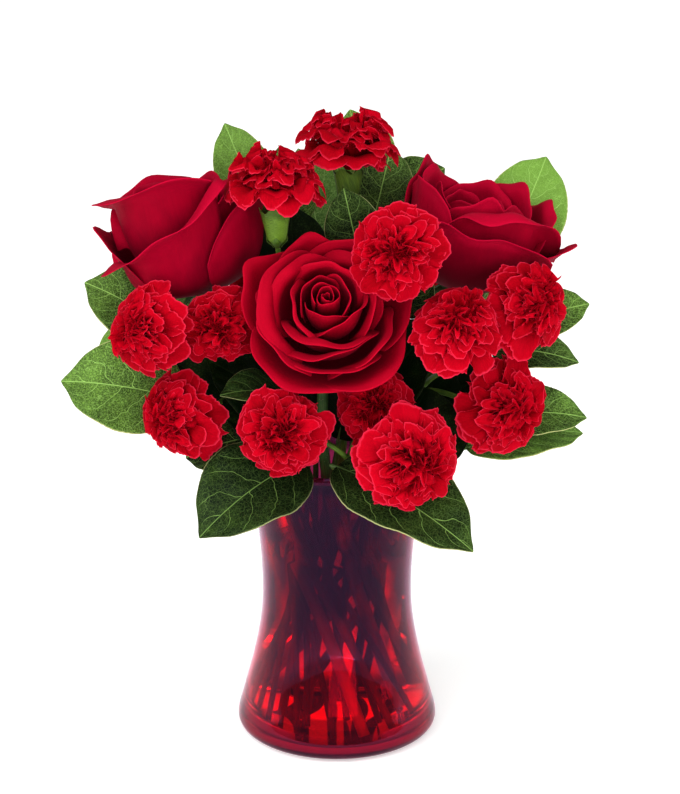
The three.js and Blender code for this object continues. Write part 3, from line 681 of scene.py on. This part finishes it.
def petal_material(name, dark, bright, rim, rim_highlight_from, lip, streaks, streaky, sheen, translucent):
    """Velvety petals with fine streaks that fan out, darker at the root as painted shade, and paler along
    the rim and over the lip as painted highlight.
    """
    s = Shader(name)
    across, along, tone, _ = s.read("shape")
    _, _, z, flat = s.read("flat")
    fan = {0: s.times(across, streaks), 1: s.times(along, 2.2), 2: z}
    fine = s.noise(s.node("ShaderNodeCombineXYZ", fan).outputs[0], 3.0, 3.0, 0.6)
    broad = s.noise(flat, 0.09, 2.0)
    # Painted shade: the colour darkens towards each petal's root, where shade falls inside the head.
    root_shade = s.step(along, 0.15, 0.95, 0.0, 0.62)
    share = s.stirred(s.stirred(s.stirred(root_shade, fine, streaky), broad, 0.5), tone, 0.5)
    colour = s.mix(s.step(share, 0.0, 1.0), dark, bright)
    # Painted highlight: the band over the lip and the thin rim are paler, as edges catching the light.
    colour = s.mix(s.step(along, 0.8, 0.93, 0.0, lip), colour, rim)
    colour = s.mix(s.step(along, rim_highlight_from, 1.0), colour, rim)
    grain = s.noise(flat, 1.6, 3.0)
    height = s.plus(s.times(fine, 0.7), s.times(grain, 0.3))
    return s.finish_thin(
        colour, s.bump(height, 0.0005, streaky), translucent, Roughness=s.step(grain, 0.2, 0.8, 0.5, 0.68),
        Sheen_Weight=sheen, Sheen_Roughness=0.4, Sheen_Tint=PETAL_SHEEN, Specular_IOR_Level=0.03,
    )


def leaf_material(name, dark, pale, vein, gloss, groove):
    """A leaf's face: a midrib, side veins that arch towards the tip, a fine net and mottling between them,
    and a pale margin."""
    s = Shader(name)
    across, along, tone, _ = s.read("shape")
    x, _, _, flat = s.read("flat")
    side = s.math("ABSOLUTE", across)
    odd = s.times(s.math("GREATER_THAN", across, 0.0), 0.5)
    level = s.stirred(along, s.noise(flat, 0.11, 1.0), 0.12)
    arch = s.times(s.math("POWER", side, 2.6), 0.14)
    climb = s.plus(s.times(side, 0.2), arch)
    rank = s.times(s.minus(level, climb), 5.0)
    from_vein = s.math("ABSOLUTE", s.minus(s.math("FRACT", s.plus(rank, odd)), 0.5))
    side_vein = s.step(from_vein, 0.005, 0.024, 1.0, 0.0)
    side_vein = s.times(side_vein, s.step(side, 0.75, 1.0, 1.0, 0.25))
    midrib = s.step(s.math("ABSOLUTE", x), 0.1, 0.55, 1.0, 0.0)
    bent = s.times(s.minus(s.noise(flat, 0.5, 2.0), 0.5), 0.9)
    loose = s.node("ShaderNodeVectorMath", {0: flat, 1: bent}, operation="ADD").outputs[0]
    coarse = s.step(s.cells(loose, 0.36), 0.0, 0.05, 1.0, 0.0)
    fine = s.step(s.cells(loose, 0.8), 0.0, 0.11, 1.0, 0.0)
    net = s.math("MAXIMUM", s.times(coarse, 0.62), s.times(fine, 0.34))
    net = s.times(net, s.step(tone, 0.05, 0.4, 0.55, 0.95))
    lines = s.math("MAXIMUM", s.math("MAXIMUM", side_vein, midrib), net)
    cloud = s.noise(flat, 0.07, 3.0)
    # Painted shade, in part: tone darkens the leaves far inside the bouquet, and fades the veins and margin
    # on the darkest.
    share = s.plus(s.stirred(tone, cloud, 0.55), s.step(along, 0.4, 0.9, 0.0, 0.13))
    mottle = s.step(s.cells(flat, 0.62), 0.02, 0.34, 0.0, 1.0)
    mottle = s.times(s.minus(mottle, 0.6), s.step(tone, 0.1, 0.5, 0.1, 0.34))
    share = s.plus(share, mottle)
    colour = s.mix(s.step(share, 0.0, 1.0), dark, pale)
    strength = s.step(tone, 0.0, 0.14, 0.02, 0.85)
    colour = s.mix(s.times(lines, strength), colour, vein)
    margin = s.times(s.step(side, 0.975, 0.995), strength)
    colour = s.mix(margin, colour, LEAF_MARGIN)
    pucker = s.step(from_vein, 0.0, 0.5)
    height = s.minus(s.times(pucker, 0.8), s.times(lines, 0.5))
    return s.finish_thin(
        colour, s.bump(height, 0.0009, groove), 0.12, Roughness=s.plus(s.times(cloud, 0.2), gloss),
        Coat_Weight=0.03, Coat_Roughness=0.3, Specular_IOR_Level=0.12,
    )


def stalk_material(name, dark, pale, painted_in_vase):
    """Green stems with fine lengthwise fibres, pale specks and a few darker bands, and in the vase a set
    colour that paints the light and shade they show through the glass.
    """
    s = Shader(name)
    place = s.node("ShaderNodeTexCoord", {}).outputs["Object"]
    height = s.node("ShaderNodeSeparateXYZ", {0: place}).outputs[2]
    *_, flat = s.read("flat")
    fibres = s.noise(s.scaled(flat, 1.2, 0.05, 1.0), 2.0, 3.0)
    specks = s.noise(flat, 0.9, 2.0)
    bands = s.noise(s.scaled(flat, 0.02, 0.06, 1.0), 1.0, 2.0)
    share = s.plus(s.times(fibres, 0.5), s.times(bands, 0.6))
    colour = s.mix(s.step(share, 0.3, 0.8), dark, pale)
    colour = s.mix(s.step(specks, 0.66, 0.74, 0.0, 0.35), colour, STALK_SPECK)
    # Painted light and shade: below the neck the stems take a set colour for how they look through the
    # glass.
    below_neck = s.times(s.step(height, 0.12, 0.155, 1.0, 0.0), s.step(share, 0.2, 0.8, 0.5, 1.0))
    colour = s.mix(below_neck, colour, painted_in_vase)
    normal = s.bump(s.plus(fibres, s.times(specks, 0.4)), 0.0004, 0.5)
    return s.finish(s.principled(colour, Roughness=0.5, Normal=normal, Specular_IOR_Level=0.4))


def glass_material():
    """Clear red glass, streaked dark purple with red blotches towards the lip as painted shade of the
    crowded stems inside, darker at the foot, at the lip and where it turns away, lavender where it is
    seen edge-on as painted reflection, glowing faintly red near the foot as painted light, and
    faintly wavy."""
    s = Shader("vase_glass")
    place = s.node("ShaderNodeTexCoord", {}).outputs["Object"]
    height = s.node("ShaderNodeSeparateXYZ", {0: place}).outputs[2]
    streak = s.noise(s.scaled(place, 1.0, 1.0, 0.25), 38.0, 3.0)
    level = s.stirred(height, streak, 0.09)
    # Painted shade: above the low band the glass turns dark purple, with red blotches, for the shade of the
    # crowded stems and leaves inside.
    blotch = s.noise(s.scaled(place, 1.0, 1.0, 0.42), 52.0, 2.0)
    painted_stem_shade = s.mix(s.step(blotch, 0.53, 0.66), GLASS["purple"], GLASS["red"])
    tint = s.mix(s.step(level, 0.02, 0.1), GLASS["low"], painted_stem_shade)
    tint = s.mix(s.step(height, 0.003, 0.017), GLASS["foot"], tint)
    tint = s.mix(s.step(height, 0.157, 0.162), tint, GLASS["lip"])
    facing = s.node("ShaderNodeLayerWeight", {"Blend": 0.5}).outputs["Facing"]
    # Where the glass turns away it is tinted darker purple, and edge-on it turns lavender as painted
    # reflection.
    tint = s.mix(s.step(facing, 0.56, 0.7, 0.0, 0.8), tint, GLASS["turned"])
    tint = s.mix(s.step(facing, 0.72, 0.92, 0.0, 0.95), tint, GLASS["edge"])
    wavy = s.noise(s.scaled(place, 1.0, 1.0, 0.35), 18.0, 1.0)
    normal = s.bump(wavy, 0.002, 0.06)
    # Painted light: the emission makes the glass glow faintly red near the foot, though it is no lamp.
    return s.finish(s.principled(
        tint, Roughness=s.step(s.noise(place, 30.0, 3.0), 0.4, 0.8, 0.002, 0.014), Normal=normal,
        IOR=1.46, Transmission_Weight=1.0, Specular_IOR_Level=0.5, Specular_Tint=(0.6, 0.32, 0.75, 1),
        Sheen_Weight=0.2, Sheen_Roughness=0.2, Sheen_Tint=(0.4, 0.42, 0.85, 1),
        Emission_Color=(1.0, 0.004, 0.03, 1), Emission_Strength=s.step(height, 0.01, 0.05, 0.012, 0.0),
    ))


def water_material():
    """Clear water, faintly warm."""
    s = Shader("water")
    place = s.node("ShaderNodeTexCoord", {}).outputs["Object"]
    normal = s.bump(s.noise(place, 40.0, 1.0), 0.001, 0.03)
    tint = s.mix(s.noise(place, 12.0, 1.0), (0.97, 0.93, 0.92), (0.99, 0.97, 0.96))
    return s.finish(s.principled(tint, Roughness=0.0, Normal=normal, IOR=1.33, Transmission_Weight=1.0))


rose_look = {
    "rim_highlight_from": 0.985, "lip": 0.45, "streaks": 9.0, "streaky": 0.25, "sheen": 0.14, "translucent": 0.08,
}
ROSE_PETAL = petal_material(
    "rose_petal", (0.19, 0.0003, 0.011), (0.38, 0.0006, 0.017), (0.44, 0.003, 0.026), **rose_look,
)
SIDE_ROSE_PETAL = petal_material(
    "side_rose_petal", (0.18, 0.0003, 0.014), (0.37, 0.0006, 0.024), (0.44, 0.003, 0.036), **rose_look,
)
CARNATION_PETAL = petal_material(
    "carnation_petal", (0.34, 0.0005, 0.007), (0.64, 0.0016, 0.024), (0.8, 0.036, 0.095),
    rim_highlight_from=0.95, lip=0.0, streaks=16.0, streaky=0.55, sheen=0.12, translucent=0.42,
)
LEAF_TOP = leaf_material(
    "leaf_top", (0.001, 0.008, 0.001), (0.18, 0.33, 0.056), (0.38, 0.62, 0.17), gloss=0.36, groove=0.7,
)
LEAF_UNDER = leaf_material(
    "leaf_under", (0.05, 0.12, 0.025), (0.2, 0.34, 0.08), (0.3, 0.44, 0.15), gloss=0.5, groove=0.4,
)
# In the vase the rose stems are painted lit red, and the carnation and leaf stems painted darker, as shade.
ROSE_STALK = stalk_material("rose_stem", (0.015, 0.05, 0.008), (0.08, 0.17, 0.04), (0.55, 0.24, 0.13))
SPRAY_STALK = stalk_material("carnation_stem", (0.015, 0.05, 0.004), (0.16, 0.28, 0.03), (0.2, 0.08, 0.04))
LEAF_STALK = stalk_material("leaf_stem", (0.02, 0.045, 0.01), (0.12, 0.2, 0.05), (0.08, 0.04, 0.02))


# Vase and water
def outer_radius(z):
    """The vase's radius at a height."""
    heights = [height for _, height in OUTER_PROFILE]
    return float(np.interp(z, heights, [radius for radius, _ in OUTER_PROFILE]))


def rounded(profile):
    """A smooth curve through the points of a profile."""
    points = np.array(profile, float)
    slopes = np.gradient(points, axis=0)
    curve = []
    for k in range(len(points) - 1):
        a, b = points[k], points[k + 1]
        size = np.linalg.norm(b - a)
        out = unit(slopes[k]) * size / 3
        into = unit(slopes[k + 1]) * size / 3
        for t in np.linspace(0, 1, PROFILE_STEPS + 1)[:-1]:
            curve.append(cubic((a, a + out, b - into, b), t))
    return [*curve, points[-1]]


def lathe(name, profile, material, node):
    """Turns a profile of (radius, height) round the vase's axis."""
    profile = np.array(profile, float)
    angle = np.linspace(0, 2 * math.pi, GLASS_SIDES + 1)[None, :]
    radius, height = profile[:, :1], profile[:, 1:]
    skin = Skin()
    skin.add(polar(radius, angle, height), angle / math.pi - 1, np.linspace(0, 1, len(profile))[:, None])
    thing = skin.piece(name, [material], node)
    weld = thing.modifiers.new("weld", "WELD")
    weld.merge_threshold = 1e-6


outer = rounded(OUTER_PROFILE)
inner = rounded([*((outer_radius(z) - WALL, z) for z in INNER_HEIGHTS), (INNER_FLOOR_RADIUS, FLOOR_TOP)])
lathe("vase_glass", [(0, 0), *outer, *inner[1:], (0, FLOOR_TOP)], glass_material(), "vase")
bed = FLOOR_TOP + GAP
banks = [(outer_radius(z) - WALL - GAP, z) for z in WATER_HEIGHTS]
walls = rounded([(INNER_FLOOR_RADIUS - GAP, bed), *banks])
lathe("water_body", [(0, bed), *walls, (0, WATER_LEVEL)], water_material(), "water")


# Carnations
def carnation_petal(skin, head, radius, share, azimuth, droop, rng):
    """A fan-shaped petal that bends outwards, with a folded, lobed and finely toothed rim."""
    def now(values):
        return float(np.interp(share, CARNATION_STEPS, values))
    across, along = across_and_along(CARNATION_COLUMNS, CARNATION_ROWS)
    rim_out = now(RIM_DISTANCE) * rng.uniform(0.86, 1.04)
    rim_high = now(RIM_HEIGHT) + rng.uniform(-0.12, 0.12)
    teeth = np.arange(CARNATION_COLUMNS + 1) % 2 * rng.uniform(0.2, 1.0, CARNATION_COLUMNS + 1)
    lobes = RIM_LOBES[0] * np.cos(rng.uniform(4, 7) * across + rng.uniform(0, 6))
    lobes = lobes + RIM_LOBES[1] * np.cos(rng.uniform(11, 16) * across + rng.uniform(0, 6))
    reach = 1 - RIM_TEETH * teeth[None, :] - lobes * smooth(along, 0.4, 1)
    reach = reach - 0.16 * across ** 2 - 0.24 * across ** 6
    t = along * reach
    out = cubic((0.05, 0.14 + 0.12 * rim_out, (0.72 + 0.3 * droop) * rim_out, rim_out), t) * radius
    high = cubic((0.02, 0.3 + 0.4 * rim_high, rim_high + 0.28 + 0.12 * droop, rim_high), t) * radius
    waves = now(PETAL_WAVES) * rng.uniform(0.75, 1.3) * math.pi
    phase = rng.uniform(0, 2 * math.pi)
    fold = 0.8 * np.sin(waves * across + phase) + 0.5 * np.sin(2.7 * waves * across + 2 * phase + 2 * t)
    crumple = 0.3 * np.sin(rng.uniform(13, 19) * across + rng.uniform(0, 6)) * smooth(t, 0.6, 1)
    ruffle = (fold + crumple) * now(RIM_SWING) * radius * smooth(t, 0.2, 1.05)
    tilt = math.atan2(rim_high, rim_out)
    out = out - ruffle * math.sin(tilt)
    high = high + ruffle * math.cos(tilt) + rng.uniform(-0.1, 0.1) * radius * across * smooth(t, 0.2, 1)
    swing = 0.12 * np.cos(1.6 * waves * across + phase) * smooth(t, 0.4, 1.0)
    spread = math.radians(now(PETAL_SPREAD) * rng.uniform(0.85, 1.15))
    angle = azimuth + (across * spread + swing) * (0.35 + 0.65 * smooth(t, 0, 0.6))
    shift = rng.uniform(-1, 1, 2) * now(RIM_SHIFT) * radius
    shift = shift[:, None, None] * smooth(t, 0, 0.5)
    points = head.place(stack(out * np.cos(angle) + shift[0], out * np.sin(angle) + shift[1], high))
    flat = stack(across * out, along * radius, rng.uniform(0, 500))
    skin.add(points, across, along, rng.uniform(0.15, 0.85), flat)


def crumpled_middle(skin, head, radius, rng):
    """The folds low between the innermost petals."""
    across, along = across_and_along(MIDDLE_COLUMNS, MIDDLE_ROWS)
    turn = math.pi * across
    fold = np.sin(7 * turn + 5 * along + rng.uniform(0, 6)) + 0.6 * np.sin(13 * turn - 9 * along)
    high = MIDDLE_HEIGHT - 0.3 * along ** 2 + 0.07 * fold * smooth(along, 0, 0.4)
    out = MIDDLE_RADIUS * along
    points = head.place(polar(out, turn, high) * radius)
    # Painted shade: the fold's height sets the share along that the colour reads, so hollows are darker and
    # ridges paler.
    skin.add(points, across, 0.62 + 0.14 * fold, 0.5)


def carnation(name, sizes, order):
    """A head's petals. Gives the place of the calyx's mouth and the head's axis."""
    rng = np.random.default_rng(CARNATION_SEED + order)
    axis = unit(sizes["faces"])
    radius = sizes["radius"]
    mouth = np.array(sizes["at"]) - axis * HEAD_DEPTH * radius
    head = Frame(mouth, axis, CARNATION_TURN * order)
    skin = Skin()
    oval = rng.uniform(0, 2 * math.pi, 2)
    for k in range(CARNATION_PETALS):
        azimuth = GOLDEN_ANGLE * k + rng.uniform(-0.2, 0.2)
        shape = 1 + 0.05 * math.cos(2 * azimuth + oval[0]) + 0.05 * math.cos(3 * azimuth + oval[1])
        share = (k / (CARNATION_PETALS - 1)) ** CROWDING
        carnation_petal(skin, head, radius * shape, share, azimuth, sizes["droop"], rng)
    crumpled_middle(skin, head, radius, rng)
    skin.piece(f"carnation_petals_{name}", [CARNATION_PETAL], f"carnation_{name}")
    return mouth, axis


mouths = {name: carnation(name, sizes, order) for order, (name, sizes) in enumerate(CARNATIONS.items())}


# Sprays
def twig(skin, start, out, mouth, axis):
    """A twig that swells into a ribbed calyx with five teeth round its mouth."""
    base = mouth - axis * CALYX_LENGTH
    path = bezier(start, out, base, axis, TWIG_STEPS)
    add_tube(skin, path, np.linspace(TWIG_RADIUS * 1.1, TWIG_RADIUS, len(path)), SIDES["twig"], 0.4)
    head = Frame(base, axis)
    turn = np.linspace(0, 2 * math.pi, CALYX_SIDES + 1)[None, :]
    share = np.linspace(0, 1, CALYX_ROWS + 1)[:, None]
    height = share * (CALYX_LENGTH - CALYX_RIM)
    radius = lerp(CALYX_BASE, CALYX_RADIUS, share) * smooth(share, -0.12, 0.2)
    radius = radius * (1 + 0.02 * np.cos(CALYX_RIBS * turn))
    level = height + 0 * turn
    teeth = np.abs(np.cos(CALYX_TEETH / 2 * turn[0]))
    level[-1] += TOOTH * teeth ** 1.5
    radius[-1] += 0.8 * teeth
    flat = stack(turn * radius, level, 40.0)
    points = head.place(polar(radius, turn, level))
    skin.add(points, turn / math.pi - 1, height / CALYX_LENGTH, 0.6, flat)
    for i in range(CALYX_SCALES):
        s, t = across_and_along(6, 6)
        turn = math.radians(360 / CALYX_SCALES * i + 20) + s * 0.62 * (1 - t ** 2)
        out = lerp(2.4, CALYX_BASE + 1.2, smooth(t, 0, 0.6))
        scale = head.place(polar(out, turn, -0.5 + SCALE_LENGTH * t))
        flat = stack(out * turn, SCALE_LENGTH * t, 60.0)
        add_blade(skin, scale, s, t, 0.75, SCALE_THICKNESS, flat)


def spray(name, sizes):
    """One stem that forks into a twig for each head."""
    heads = [mouths[head] for head in sizes["heads"]]
    fork = np.array(sizes["fork"], float)
    middle = sum(mouth for mouth, _ in heads) / len(heads)
    into = unit(unit(middle - fork) + np.array([0, 0, sizes["rise"]]))
    path, _ = stem_path(sizes["place"], SPRAY_STEM_RADIUS, fork, into)
    skin = Skin()
    add_tube(skin, path, np.full(len(path), float(SPRAY_STEM_RADIUS)), SIDES["spray"])
    for mouth, axis in heads:
        twig(skin, fork - into * 2, into, mouth, axis)
    skin.piece(f"spray_stems_{name}", [SPRAY_STALK], f"carnation_spray_{name}")


for name, sizes in SPRAYS.items():
    spray(name, sizes)


# Roses
def rose_petal(skin, head, azimuth, rng, distance, height, angle, lip, curl, skew=0.03, point=0.1, roll=1,
               corner=0.3, slant=0, sag=0, ruffle=0, ragged=1, tone=None):
    """A cupped petal whose lip curls over."""
    across, along = across_and_along(ROSE_COLUMNS, ROSE_ROWS)
    side = np.abs(across)
    notch = point * rng.uniform(0.6, 1.3)
    uneven = 0.012 * np.sin(5 * across + rng.uniform(0, 6))
    uneven = uneven + 0.008 * np.sin(11 * across + rng.uniform(0, 6))
    fall = corner * side ** 3.4 + notch * (1 - np.exp(-(across ** 2) / 0.06))
    u = along * (1 + uneven * ragged - fall)
    lip_from = 1 - lip - fall
    held = np.minimum(u, lip_from)
    rho = cubic(distance, held)
    z = cubic(height, held)
    slope = np.stack([cubic_slope(distance, held), cubic_slope(height, held)])
    speed = np.maximum(np.linalg.norm(slope, axis=0), 1e-6)
    way = slope / speed
    beyond = np.maximum(u - lip_from, 0) * speed
    full = lip * speed
    curl = math.radians(curl * rng.uniform(0.8, 1.15))
    curl = curl * (0.75 + 0.25 * np.cos(3 * across + rng.uniform(0, 6)))
    bend = np.maximum(curl / (LIP_FOLD * full), 1e-6)
    turned = np.minimum(beyond * bend, curl)
    straight = beyond - turned / bend
    ahead = np.sin(turned) / bend + straight * np.cos(turned)
    aside = (1 - np.cos(turned)) / bend + straight * np.sin(turned)
    rho = rho + way[0] * ahead + way[1] * aside
    z = z + way[1] * ahead - way[0] * aside
    edge = roll * side ** 3 * u ** 4
    wave = 0.8 * np.sin(4 * across + rng.uniform(0, 6)) * np.sin(3 * u + rng.uniform(0, 6))
    wave = wave * smooth(u, 0.2, 0.7)
    wave = wave + 0.35 * np.sin(9 * across + 4 * u + rng.uniform(0, 6)) * smooth(u, 0.4, 0.9)
    wave = wave + ruffle * np.sin(9 * across + rng.uniform(0, 6)) * smooth(u, 0.5, 1.0)
    rho = (rho + wave) * (1 + skew * across) + edge
    tipped = slant * across - sag * (1 - across ** 2)
    z = z - 0.6 * edge + tipped * smooth(u, 0.1, 0.9)
    phi = azimuth + across * math.radians(angle) * (0.4 + 0.6 * smooth(u, 0, 0.45))
    points = head.place(polar(rho, phi, z))
    flat = stack(across * rho * math.radians(angle), u * 60, rng.uniform(0, 500))
    usual = rng.uniform(0.3, 0.7)
    add_blade(skin, points, across, along, usual if tone is None else tone, PETAL_THICKNESS, flat)


def rose_eye(skin, head, eye):
    """One petal wound into a tight spiral."""
    across, along = across_and_along(EYE_COLUMNS, EYE_ROWS)
    q = (across + 1) / 2
    phi = 2 * math.pi * eye["turns"] * q
    rho = quadratic(lerp(*eye["root"], q), lerp(*eye["belly"], q), lerp(*eye["lip"], q), along)
    top = lerp(*eye["height"], q) + 1.3 * np.sin(1.7 * phi + 1) + 0.5 * np.sin(5.3 * phi)
    rho = rho * (1 + 0.07 * np.sin(2.6 * phi))
    points = head.place(polar(rho, phi, lerp(EYE_ROOT, top, along)))
    add_blade(skin, points, across, along, 0.35, PETAL_THICKNESS, stack(rho * phi, along * 40, 7.0))


def rose(name, sizes, order):
    """A head of petals, and its stem with the hip and the sepals."""
    rng = np.random.default_rng(ROSE_SEED + order)
    axis = unit(sizes["faces"])
    base = np.array(sizes["base"], float)
    head = Frame(base, axis, sizes["spin"])
    form = ROSE_FORMS[sizes["form"]]
    skin = Skin()
    rose_eye(skin, head, form["eye"])
    for count, turn, profile, shape in form["whorls"]:
        for i in range(count):
            azimuth = math.radians(turn + 360 * i / count + rng.uniform(-5, 5))
            rose_petal(skin, head, azimuth, rng, *profile, **shape)
    for towards, profile, shape in form["guards"]:
        rose_petal(skin, head, head.azimuth(towards), rng, *profile, **shape)
    material = ROSE_PETAL if sizes["form"] == "open" else SIDE_ROSE_PETAL
    skin.piece(f"rose_petals_{name}", [material], f"rose_{name}")
    stem = Skin()
    path, _ = stem_path(sizes["place"], ROSE_STEM_RADIUS, base - axis * HIP_START, axis)
    path = np.array([*path, *(base - axis * under for under, _ in HIP_PROFILE)])
    radii = np.full(len(path), float(ROSE_STEM_RADIUS))
    radii[-len(HIP_PROFILE):] = [radius for _, radius in HIP_PROFILE]
    add_tube(stem, path, radii, SIDES["rose"])
    for i in range(SEPALS):
        s, t = across_and_along(8, 14)
        aside = SEPAL_HALF * s * (1 - 0.85 * t ** 1.5)
        sepal = stack(lerp(*SEPAL_REACH, t), aside, -2.6 - 11 * t * t + 0.6 * s * s)
        turned = Frame(base, axis, sizes["spin"] + 360 / SEPALS * i + 20)
        add_blade(stem, turned.place(sepal), s, t, 0.6, SEPAL_THICKNESS)
    stem.piece(f"rose_stalk_{name}", [ROSE_STALK], f"rose_stem_{name}")


for order, (name, sizes) in enumerate(ROSES.items()):
    rose(name, sizes, order)


# Leaves
def leaf_points(sizes, across, along, seed):
    """Points of a leaf folded along its midrib, arched, waved along its edges and pointed at the end."""
    base, tip = np.array(sizes["base"], float), np.array(sizes["tip"], float)
    length = np.linalg.norm(tip - base)
    forward = (tip - base) / length
    side = unit(np.cross(forward, sizes["face"]))
    up = np.cross(side, forward)
    t, s = along, across
    outline = np.clip(np.sin(math.pi * t ** 0.82), 0, 1) ** 0.64
    half = 0.5 * sizes["width"] * outline * (1 - 0.5 * smooth(t, 0.84, 1)) + lerp(0.6, 0.3, t)
    half = half * (1 + 0.012 * np.abs(np.sin(60 * t + 3 * seed)) * outline)
    wave = 0.03 * sizes["width"] * np.sin(9 * t + 2) * s * s * np.sin(math.pi * t)
    wave = wave + 0.012 * sizes["width"] * np.sin(23 * t + 5 * s + seed) * s * s * np.sin(math.pi * t)
    lift = 0.22 * half * np.sqrt(s * s + 0.004) + wave
    lift = lift + sizes["arch"] * length * (0.81 - 4 * (t - 0.45) ** 2)
    points = base + (length * t)[..., None] * forward + (s * half)[..., None] * side + lift[..., None] * up
    return points, stack(s * half, t * length, seed * 40)


def leafy_stem(name, place, leaves, order):
    """A woody stem that runs into its last leaf, with the others on stalks from its bends."""
    skin = Skin()
    ribs = []
    for i, sizes in enumerate(leaves):
        seed = order * LEAF_SEEDS[0] + i * LEAF_SEEDS[1]
        across, along = across_and_along(LEAF_COLUMNS, LEAF_ROWS)
        points, flat = leaf_points(sizes, across, along, seed)
        add_blade(skin, points, across, along, sizes["tone"], LEAF_THICKNESS, flat, (0, 1))
        rib, _ = leaf_points(sizes, np.zeros(RIB_POINTS), np.linspace(0, RIB_SHARE, RIB_POINTS), seed)
        ribs.append(rib)
    end = ribs[-1]
    path, bends = stem_path(place, LEAFY_STEM_RADIUS, end[0], unit(end[1] - end[0]))
    whole = np.array([*path, *end[1:]])
    radii = np.interp(np.arange(len(whole)), [0, STRAIGHT_STEPS, len(path), len(whole)],
                      [LEAFY_STEM_RADIUS, LEAFY_STEM_RADIUS, STALK_RADIUS, STALK_END])
    add_tube(skin, whole, radii, SIDES["leafy"], slot=2)
    for sizes, rib in zip(leaves[:-1], ribs[:-1]):
        joint = bends[sizes["joint"]]
        stalk = bezier(joint, unit(rib[0] - joint), rib[0], unit(rib[1] - rib[0]), STALK_STEPS)
        stalk = np.array([*stalk, *rib[1:]])
        radii = np.interp(np.arange(len(stalk)), [0, STALK_STEPS, len(stalk)],
                          [STALK_RADIUS * 1.2, STALK_RADIUS, STALK_END])
        add_tube(skin, stalk, radii, SIDES["stalk"], slot=2)
    skin.piece(f"leaves_{name}", [LEAF_TOP, LEAF_UNDER, LEAF_STALK], f"leafy_stem_{name}")


for order, (name, (place, leaves)) in enumerate(LEAFY_STEMS.items()):
    leafy_stem(name, place, leaves, order)


# Floor, lights and camera
def ground():
    """A pale floor just under the vase."""
    s = Shader("floor")
    place = s.node("ShaderNodeTexCoord", {}).outputs["Object"]
    tint = s.mix(s.noise(place, 3.0, 2.0), (0.9, 0.9, 0.9), (0.93, 0.93, 0.93))
    mesh = bpy.data.meshes.new("floor")
    far = FLOOR_REACH
    corners = [(-far, -far), (far, -far), (far, far), (-far, far)]
    mesh.from_pydata([(x, y, -FLOOR_GAP) for x, y in corners], [], [(0, 1, 2, 3)])
    glow = {"Emission_Color": (1.0, 1.0, 1.0), "Emission_Strength": FLOOR_GLOW}
    mesh.materials.append(s.finish(s.principled(tint, Roughness=0.8, **glow)))
    add_object("floor", mesh)


def softbox(name, place, target, size, power, mirrored=True):
    """A panel of light. mirrored is whether shiny surfaces show it."""
    lamp = bpy.data.lights.new(name, "AREA")
    lamp.shape = "RECTANGLE"
    lamp.size, lamp.size_y = size
    lamp.energy = power
    thing = add_object(name, lamp)
    thing.location = place
    thing.rotation_euler = (Vector(target) - Vector(place)).to_track_quat("-Z", "Y").to_euler()
    thing.visible_glossy = mirrored


def studio():
    """A white sky that is brighter seen than as a light, a broad key light and the softboxes."""
    world = bpy.data.worlds.new("studio")
    world.use_nodes = True
    bpy.context.scene.world = world
    nodes, links = world.node_tree.nodes, world.node_tree.links
    background = nodes["Background"]
    background.inputs["Color"].default_value = (1, 1, 1, 1)
    seen = nodes.new("ShaderNodeLightPath")
    strength = nodes.new("ShaderNodeMapRange")
    strength.inputs["To Min"].default_value = SKY_STRENGTH
    strength.inputs["To Max"].default_value = SKY_SEEN
    either = nodes.new("ShaderNodeMath")
    either.operation = "MAXIMUM"
    links.new(seen.outputs["Is Camera Ray"], either.inputs[0])
    links.new(seen.outputs["Is Transmission Ray"], either.inputs[1])
    links.new(either.outputs[0], strength.inputs["Value"])
    links.new(strength.outputs[0], background.inputs["Strength"])
    sun = bpy.data.lights.new("key", "SUN")
    sun.energy = KEY_STRENGTH
    sun.angle = math.radians(KEY_SPREAD)
    add_object("key", sun).rotation_euler = (*map(math.radians, KEY_TILT), 0)
    for name, box in SOFTBOXES.items():
        softbox(name, **box)


ground()
studio()

view = bpy.data.cameras.new("camera")
view.lens = CAMERA_LENS
camera = add_object("camera", view)
camera.location = CAMERA_PLACE
camera.rotation_euler = (math.radians(90 - CAMERA_PITCH), 0, 0)
scene = bpy.context.scene
scene.camera = camera
scene.view_settings.view_transform = "Standard"
scene.view_settings.gamma = VIEW_GAMMA
scene.cycles.use_denoising = True
scene.cycles.denoiser = "OPENIMAGEDENOISE"
scene.cycles.max_bounces = 24
scene.cycles.glossy_bounces = 16
scene.cycles.transmission_bounces = 24
